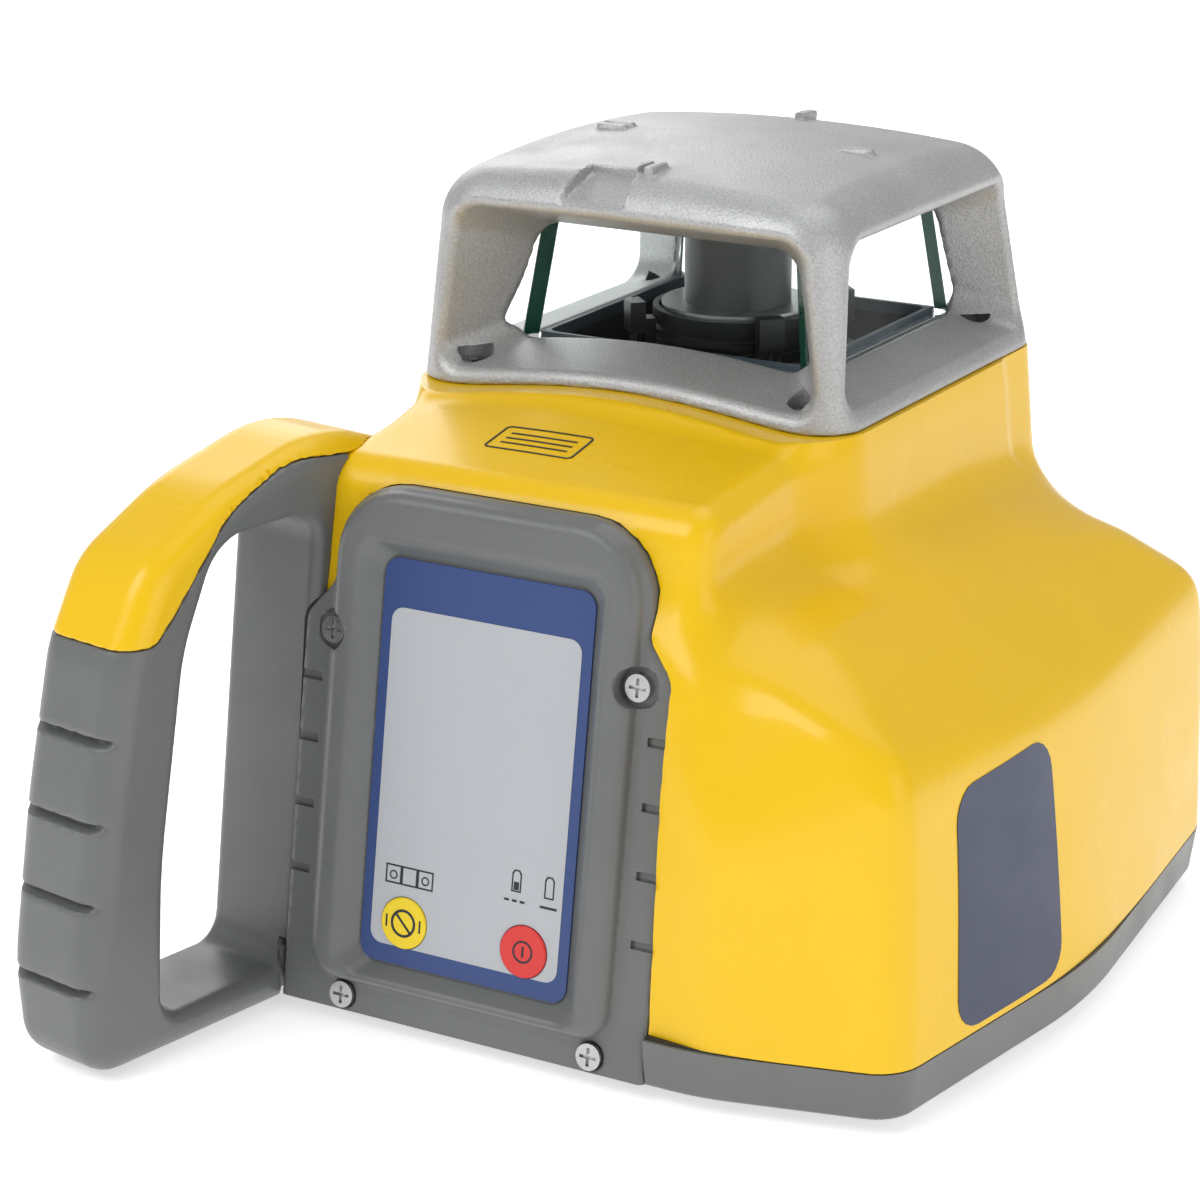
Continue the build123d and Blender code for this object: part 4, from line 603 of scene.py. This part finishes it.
# ---- printed films -------------------------------------------------------------
def film(name, islands, place, paint, body, cell=4.0, lift=0.12, sink=0.25):
    """A thin printed sheet. Each island is an outline followed by its holes, in the sheet's own plane."""
    verts, faces = [], []
    for loops in islands:
        points, edges = [], []
        for loop in loops:
            start = len(points)
            for (au, av), (bu, bv) in zip(loop, np.roll(loop, -1, 0)):
                parts = max(1, math.ceil(math.hypot(bu - au, bv - av) / cell))
                points += [(au + (bu - au) * k / parts, av + (bv - av) * k / parts) for k in range(parts)]
            count = len(points) - start
            edges += [(start + k, start + (k + 1) % count) for k in range(count)]

        def inside_sd(u, v):
            sd = outline_sd(u, v, loops[0])
            for hole in loops[1:]:
                sd = np.maximum(sd, -outline_sd(u, v, hole))
            return sd

        low, high = np.min(loops[0], 0), np.max(loops[0], 0)
        gu, gv = np.meshgrid(np.arange(low[0], high[0], cell), np.arange(low[1], high[1], cell))
        keep = inside_sd(gu, gv) < -0.45 * cell
        points += list(zip(gu[keep], gv[keep]))
        drawn = [Vector((float(u), float(v))) for u, v in points]
        flat, _, tris, *_ = delaunay_2d_cdt(drawn, edges, [], 0, 1e-6)
        flat = np.array([tuple(p) for p in flat])
        tris = np.array([tuple(t) for t in tris])
        middle = flat[tris].mean(1)
        tris = tris[inside_sd(middle[:, 0], middle[:, 1]) < 0]
        at, out = place(flat[:, 0], flat[:, 1])
        base, count = len(verts), len(flat)
        verts += list((at + out * lift) * MM) + list((at - out * sink) * MM)
        a, b, c = (at[tris[:, k]] for k in range(3))
        facing = (np.cross(b - a, c - a) * out[tris[:, 0]]).sum(1)
        tris = np.where(facing[:, None] > 0, tris, tris[:, ::-1])
        sides = {}
        for tri in tris:
            for k in range(3):
                i, j = int(tri[k]), int(tri[(k + 1) % 3])
                sides[(i, j)] = (j, i) not in sides
                if not sides[(i, j)]:
                    sides[(j, i)] = False
        faces += [tuple(int(base + i) for i in tri) for tri in tris]
        faces += [tuple(int(base + count + i) for i in tri[::-1]) for tri in tris]
        rims = [pair for pair, rim in sides.items() if rim]
        faces += [(base + j, base + i, base + count + i, base + count + j) for i, j in rims]
    mesh = bpy.data.meshes.new(name)
    mesh.from_pydata([tuple(v) for v in verts], [], faces)
    mesh.validate()
    mesh.materials.append(paint)
    mesh.shade_smooth()
    mesh.set_sharp_from_angle(angle=math.radians(40))
    piece = bpy.data.objects.new(name, mesh)
    scene.collection.objects.link(piece)
    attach(piece, body)
    return piece


def slope(x, y, z):
    """Which way the housing's skin faces."""
    e = 0.1
    n = np.stack([
        body_sd(x + e, y, z) - body_sd(x - e, y, z),
        body_sd(x, y + e, z) - body_sd(x, y - e, z),
        body_sd(x, y, z + e) - body_sd(x, y, z - e),
    ], 1)
    return n / np.linalg.norm(n, axis=1, keepdims=True)


def on_side(y, z):
    """Puts points onto the battery housing's outer side."""
    x = np.full(len(y), 128.0)
    for _ in range(60):
        x = x - body_sd(x, y, z) * 0.9
    return np.stack([x, y, z], 1), slope(x, y, z)


def on_hood(x, y):
    """Puts points onto the hood above the panel."""
    z = np.full(len(x), 146.0)
    for _ in range(60):
        z = z - body_sd(x, y, z) * 0.9
    return np.stack([x, y, z], 1), slope(x, y, z)


def on_panel(level):
    """Puts points onto the panel at a level above the keypad film."""
    def place(x, along):
        y = PANEL_Y + along * math.sin(TILT) - level * math.cos(TILT)
        z = PANEL_Z + along * math.cos(TILT) + level * math.sin(TILT)
        out = np.zeros((len(x), 3))
        out[:, 1], out[:, 2] = -math.cos(TILT), math.sin(TILT)
        return np.stack([x, y, z], 1), out
    return place


def rect(u0, v0, u1, v1, r=0.0):
    """A rectangle between two corners, rounded by r."""
    corners = [(u0, v0), (u1, v0), (u1, v1), (u0, v1)]
    return rounded(corners, [r] * 4, 5)


def disc(u, v, r, steps=36):
    """A circle as a many-sided outline."""
    turn = np.arange(steps) * 2 * math.pi / steps
    return np.stack([u + r * np.cos(turn), v + r * np.sin(turn)], 1)


def bar(u0, v0, u1, v1, width):
    """A straight stroke of one width."""
    along = np.array([u1 - u0, v1 - v0], float)
    side = np.array([-along[1], along[0]]) / np.linalg.norm(along) * width / 2
    a, b = np.array([u0, v0]), np.array([u1, v1])
    return np.array([a + side, a - side, b - side, b + side])


MODE_SPOT, POWER_SPOT = (-BUTTON_X, BUTTON_UP), (BUTTON_X, BUTTON_UP)
film("keypad_field", [[rect(-25.6, 4.4, 25.6, 85, 3.2), disc(*MODE_SPOT, 6.40), disc(*POWER_SPOT, 6.40)]],
     on_panel(0.0), FIELD, "housing", cell=12)
marks = []
for k in range(3):
    left = -22.4 + 4.4 * k
    marks.append([rect(left, 19.4, left + 4.4, 24.0), rect(left + 0.4, 19.8, left + 4.0, 23.6)])
for centre in (-20.2, -11.4):
    marks.append([disc(centre, 21.5, 1.1, 18), disc(centre, 21.5, 0.75, 18)])
for centre in (13.2, 22.0):
    cell_outline = np.array([(-1.3, -2.6), (1.3, -2.6), (1.3, 1.8), (0.7, 2.7), (-0.7, 2.7), (-1.3, 1.8)])
    marks.append([cell_outline + (centre, 26.6), cell_outline * (0.72, 0.86) + (centre, 26.6)])
marks.append([rect(12.5, 24.5, 13.9, 26.4)])
marks += [[bar(10.2 + 2.1 * k, 21.9, 11.5 + 2.1 * k, 21.9, 0.55)] for k in range(3)]
marks.append([bar(19.8, 21.9, 24.3, 21.9, 0.6)])
film("keypad_marks", marks, on_panel(0.12), INK, "housing", cell=12, lift=0.05, sink=0.05)
film("mode_mark", [
    [disc(*MODE_SPOT, 3.4), disc(*MODE_SPOT, 2.75)],
    [bar(MODE_SPOT[0] - 2.1, MODE_SPOT[1] + 2.1, MODE_SPOT[0] + 2.1, MODE_SPOT[1] - 2.1, 0.6)],
    [bar(MODE_SPOT[0] - 4.6, MODE_SPOT[1] - 1.5, MODE_SPOT[0] - 4.6, MODE_SPOT[1] + 1.5, 0.45)],
    [bar(MODE_SPOT[0] + 4.6, MODE_SPOT[1] - 1.5, MODE_SPOT[0] + 4.6, MODE_SPOT[1] + 1.5, 0.45)],
], on_panel(0.6), INK, "mode_button", cell=12, lift=0.06, sink=0.06)
film("power_mark", [
    [disc(*POWER_SPOT, 2.7), disc(*POWER_SPOT, 2.2)],
    [bar(POWER_SPOT[0], POWER_SPOT[1] - 1.3, POWER_SPOT[0], POWER_SPOT[1] + 1.3, 0.55)],
], on_panel(0.6), INK, "power_button", cell=12, lift=0.06, sink=0.06)

SIDE_PANEL_FRONT_Y, SIDE_PANEL_BACK_Y = -103.0, -58.0
SIDE_PANEL_LOW_Z, SIDE_PANEL_HIGH_Z, SIDE_PANEL_CORNER = 18.0, 76.0, 8.0
side_panel = rect(SIDE_PANEL_FRONT_Y, SIDE_PANEL_LOW_Z, SIDE_PANEL_BACK_Y, SIDE_PANEL_HIGH_Z, SIDE_PANEL_CORNER)
film("side_graphic", [[side_panel]], on_side, NAVY, "housing", cell=2.5, lift=0.22)

LABEL_X, LABEL_Y = -5.0, -89.5
LABEL_HALF_WIDTH, LABEL_HALF_LENGTH, LABEL_CORNER, LABEL_LINE = 12.0, 6.0, 1.5, 0.55


def label_edge(inset):
    """The hood label's outline, brought in by an inset."""
    half_x, half_y = LABEL_HALF_WIDTH - inset, LABEL_HALF_LENGTH - inset
    return rect(LABEL_X - half_x, LABEL_Y - half_y, LABEL_X + half_x, LABEL_Y + half_y, LABEL_CORNER - inset)


label = [[label_edge(0.0), label_edge(LABEL_LINE)]]
for step in (-1, 0, 1):
    line_y = LABEL_Y + 2.5 * step
    label.append([bar(LABEL_X - 9, line_y, LABEL_X + 9, line_y, LABEL_LINE)])
film("hood_label", label, on_hood, INK, "housing", cell=2.5, lift=0.16)

# ---- ground edges of the glass -------------------------------------------------
PANE_LOW_Z, PANE_HIGH_Z = 148.0, 176.0
edge_verts, edge_faces = [], []
for sx in (-1, 1):
    for sy in (-1, 1):
        start = len(edge_verts)
        for z in (PANE_LOW_Z, PANE_HIGH_Z):
            for inset in (0.15, 3.1):
                for skew in (-0.11, 0.11):
                    reach = glass_half(z) - inset
                    edge_verts.append((sx * (reach + skew) * MM, sy * (reach - skew) * MM, z * MM))
        edge_faces += [tuple(start + k for k in f) for f in (
            (0, 1, 3, 2), (4, 6, 7, 5), (0, 4, 5, 1), (2, 3, 7, 6), (0, 2, 6, 4), (1, 5, 7, 3))]
edge_mesh = bpy.data.meshes.new("pane_edges")
edge_mesh.from_pydata(edge_verts, [], edge_faces)
edge_mesh.materials.append(PANE_EDGE)
pane_edges = bpy.data.objects.new("pane_edges", edge_mesh)
scene.collection.objects.link(pane_edges)
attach(pane_edges, "housing")

# ---- floor ---------------------------------------------------------------------
FLOOR = material("floor", (0.90, 0.90, 0.90), 0.6, tone=0.004, bump=0.02, grain_size=4,
                 extra={"Emission Color": (1, 1, 1, 1), "Emission Strength": 0.56})
floor_mesh = bpy.data.meshes.new("floor")
floor_mesh.from_pydata([(-6, -6, 0), (6, -6, 0), (6, 6, 0), (-6, 6, 0)], [], [(0, 1, 2, 3)])
floor_mesh.materials.append(FLOOR)
floor = bpy.data.objects.new("floor", floor_mesh)
scene.collection.objects.link(floor)
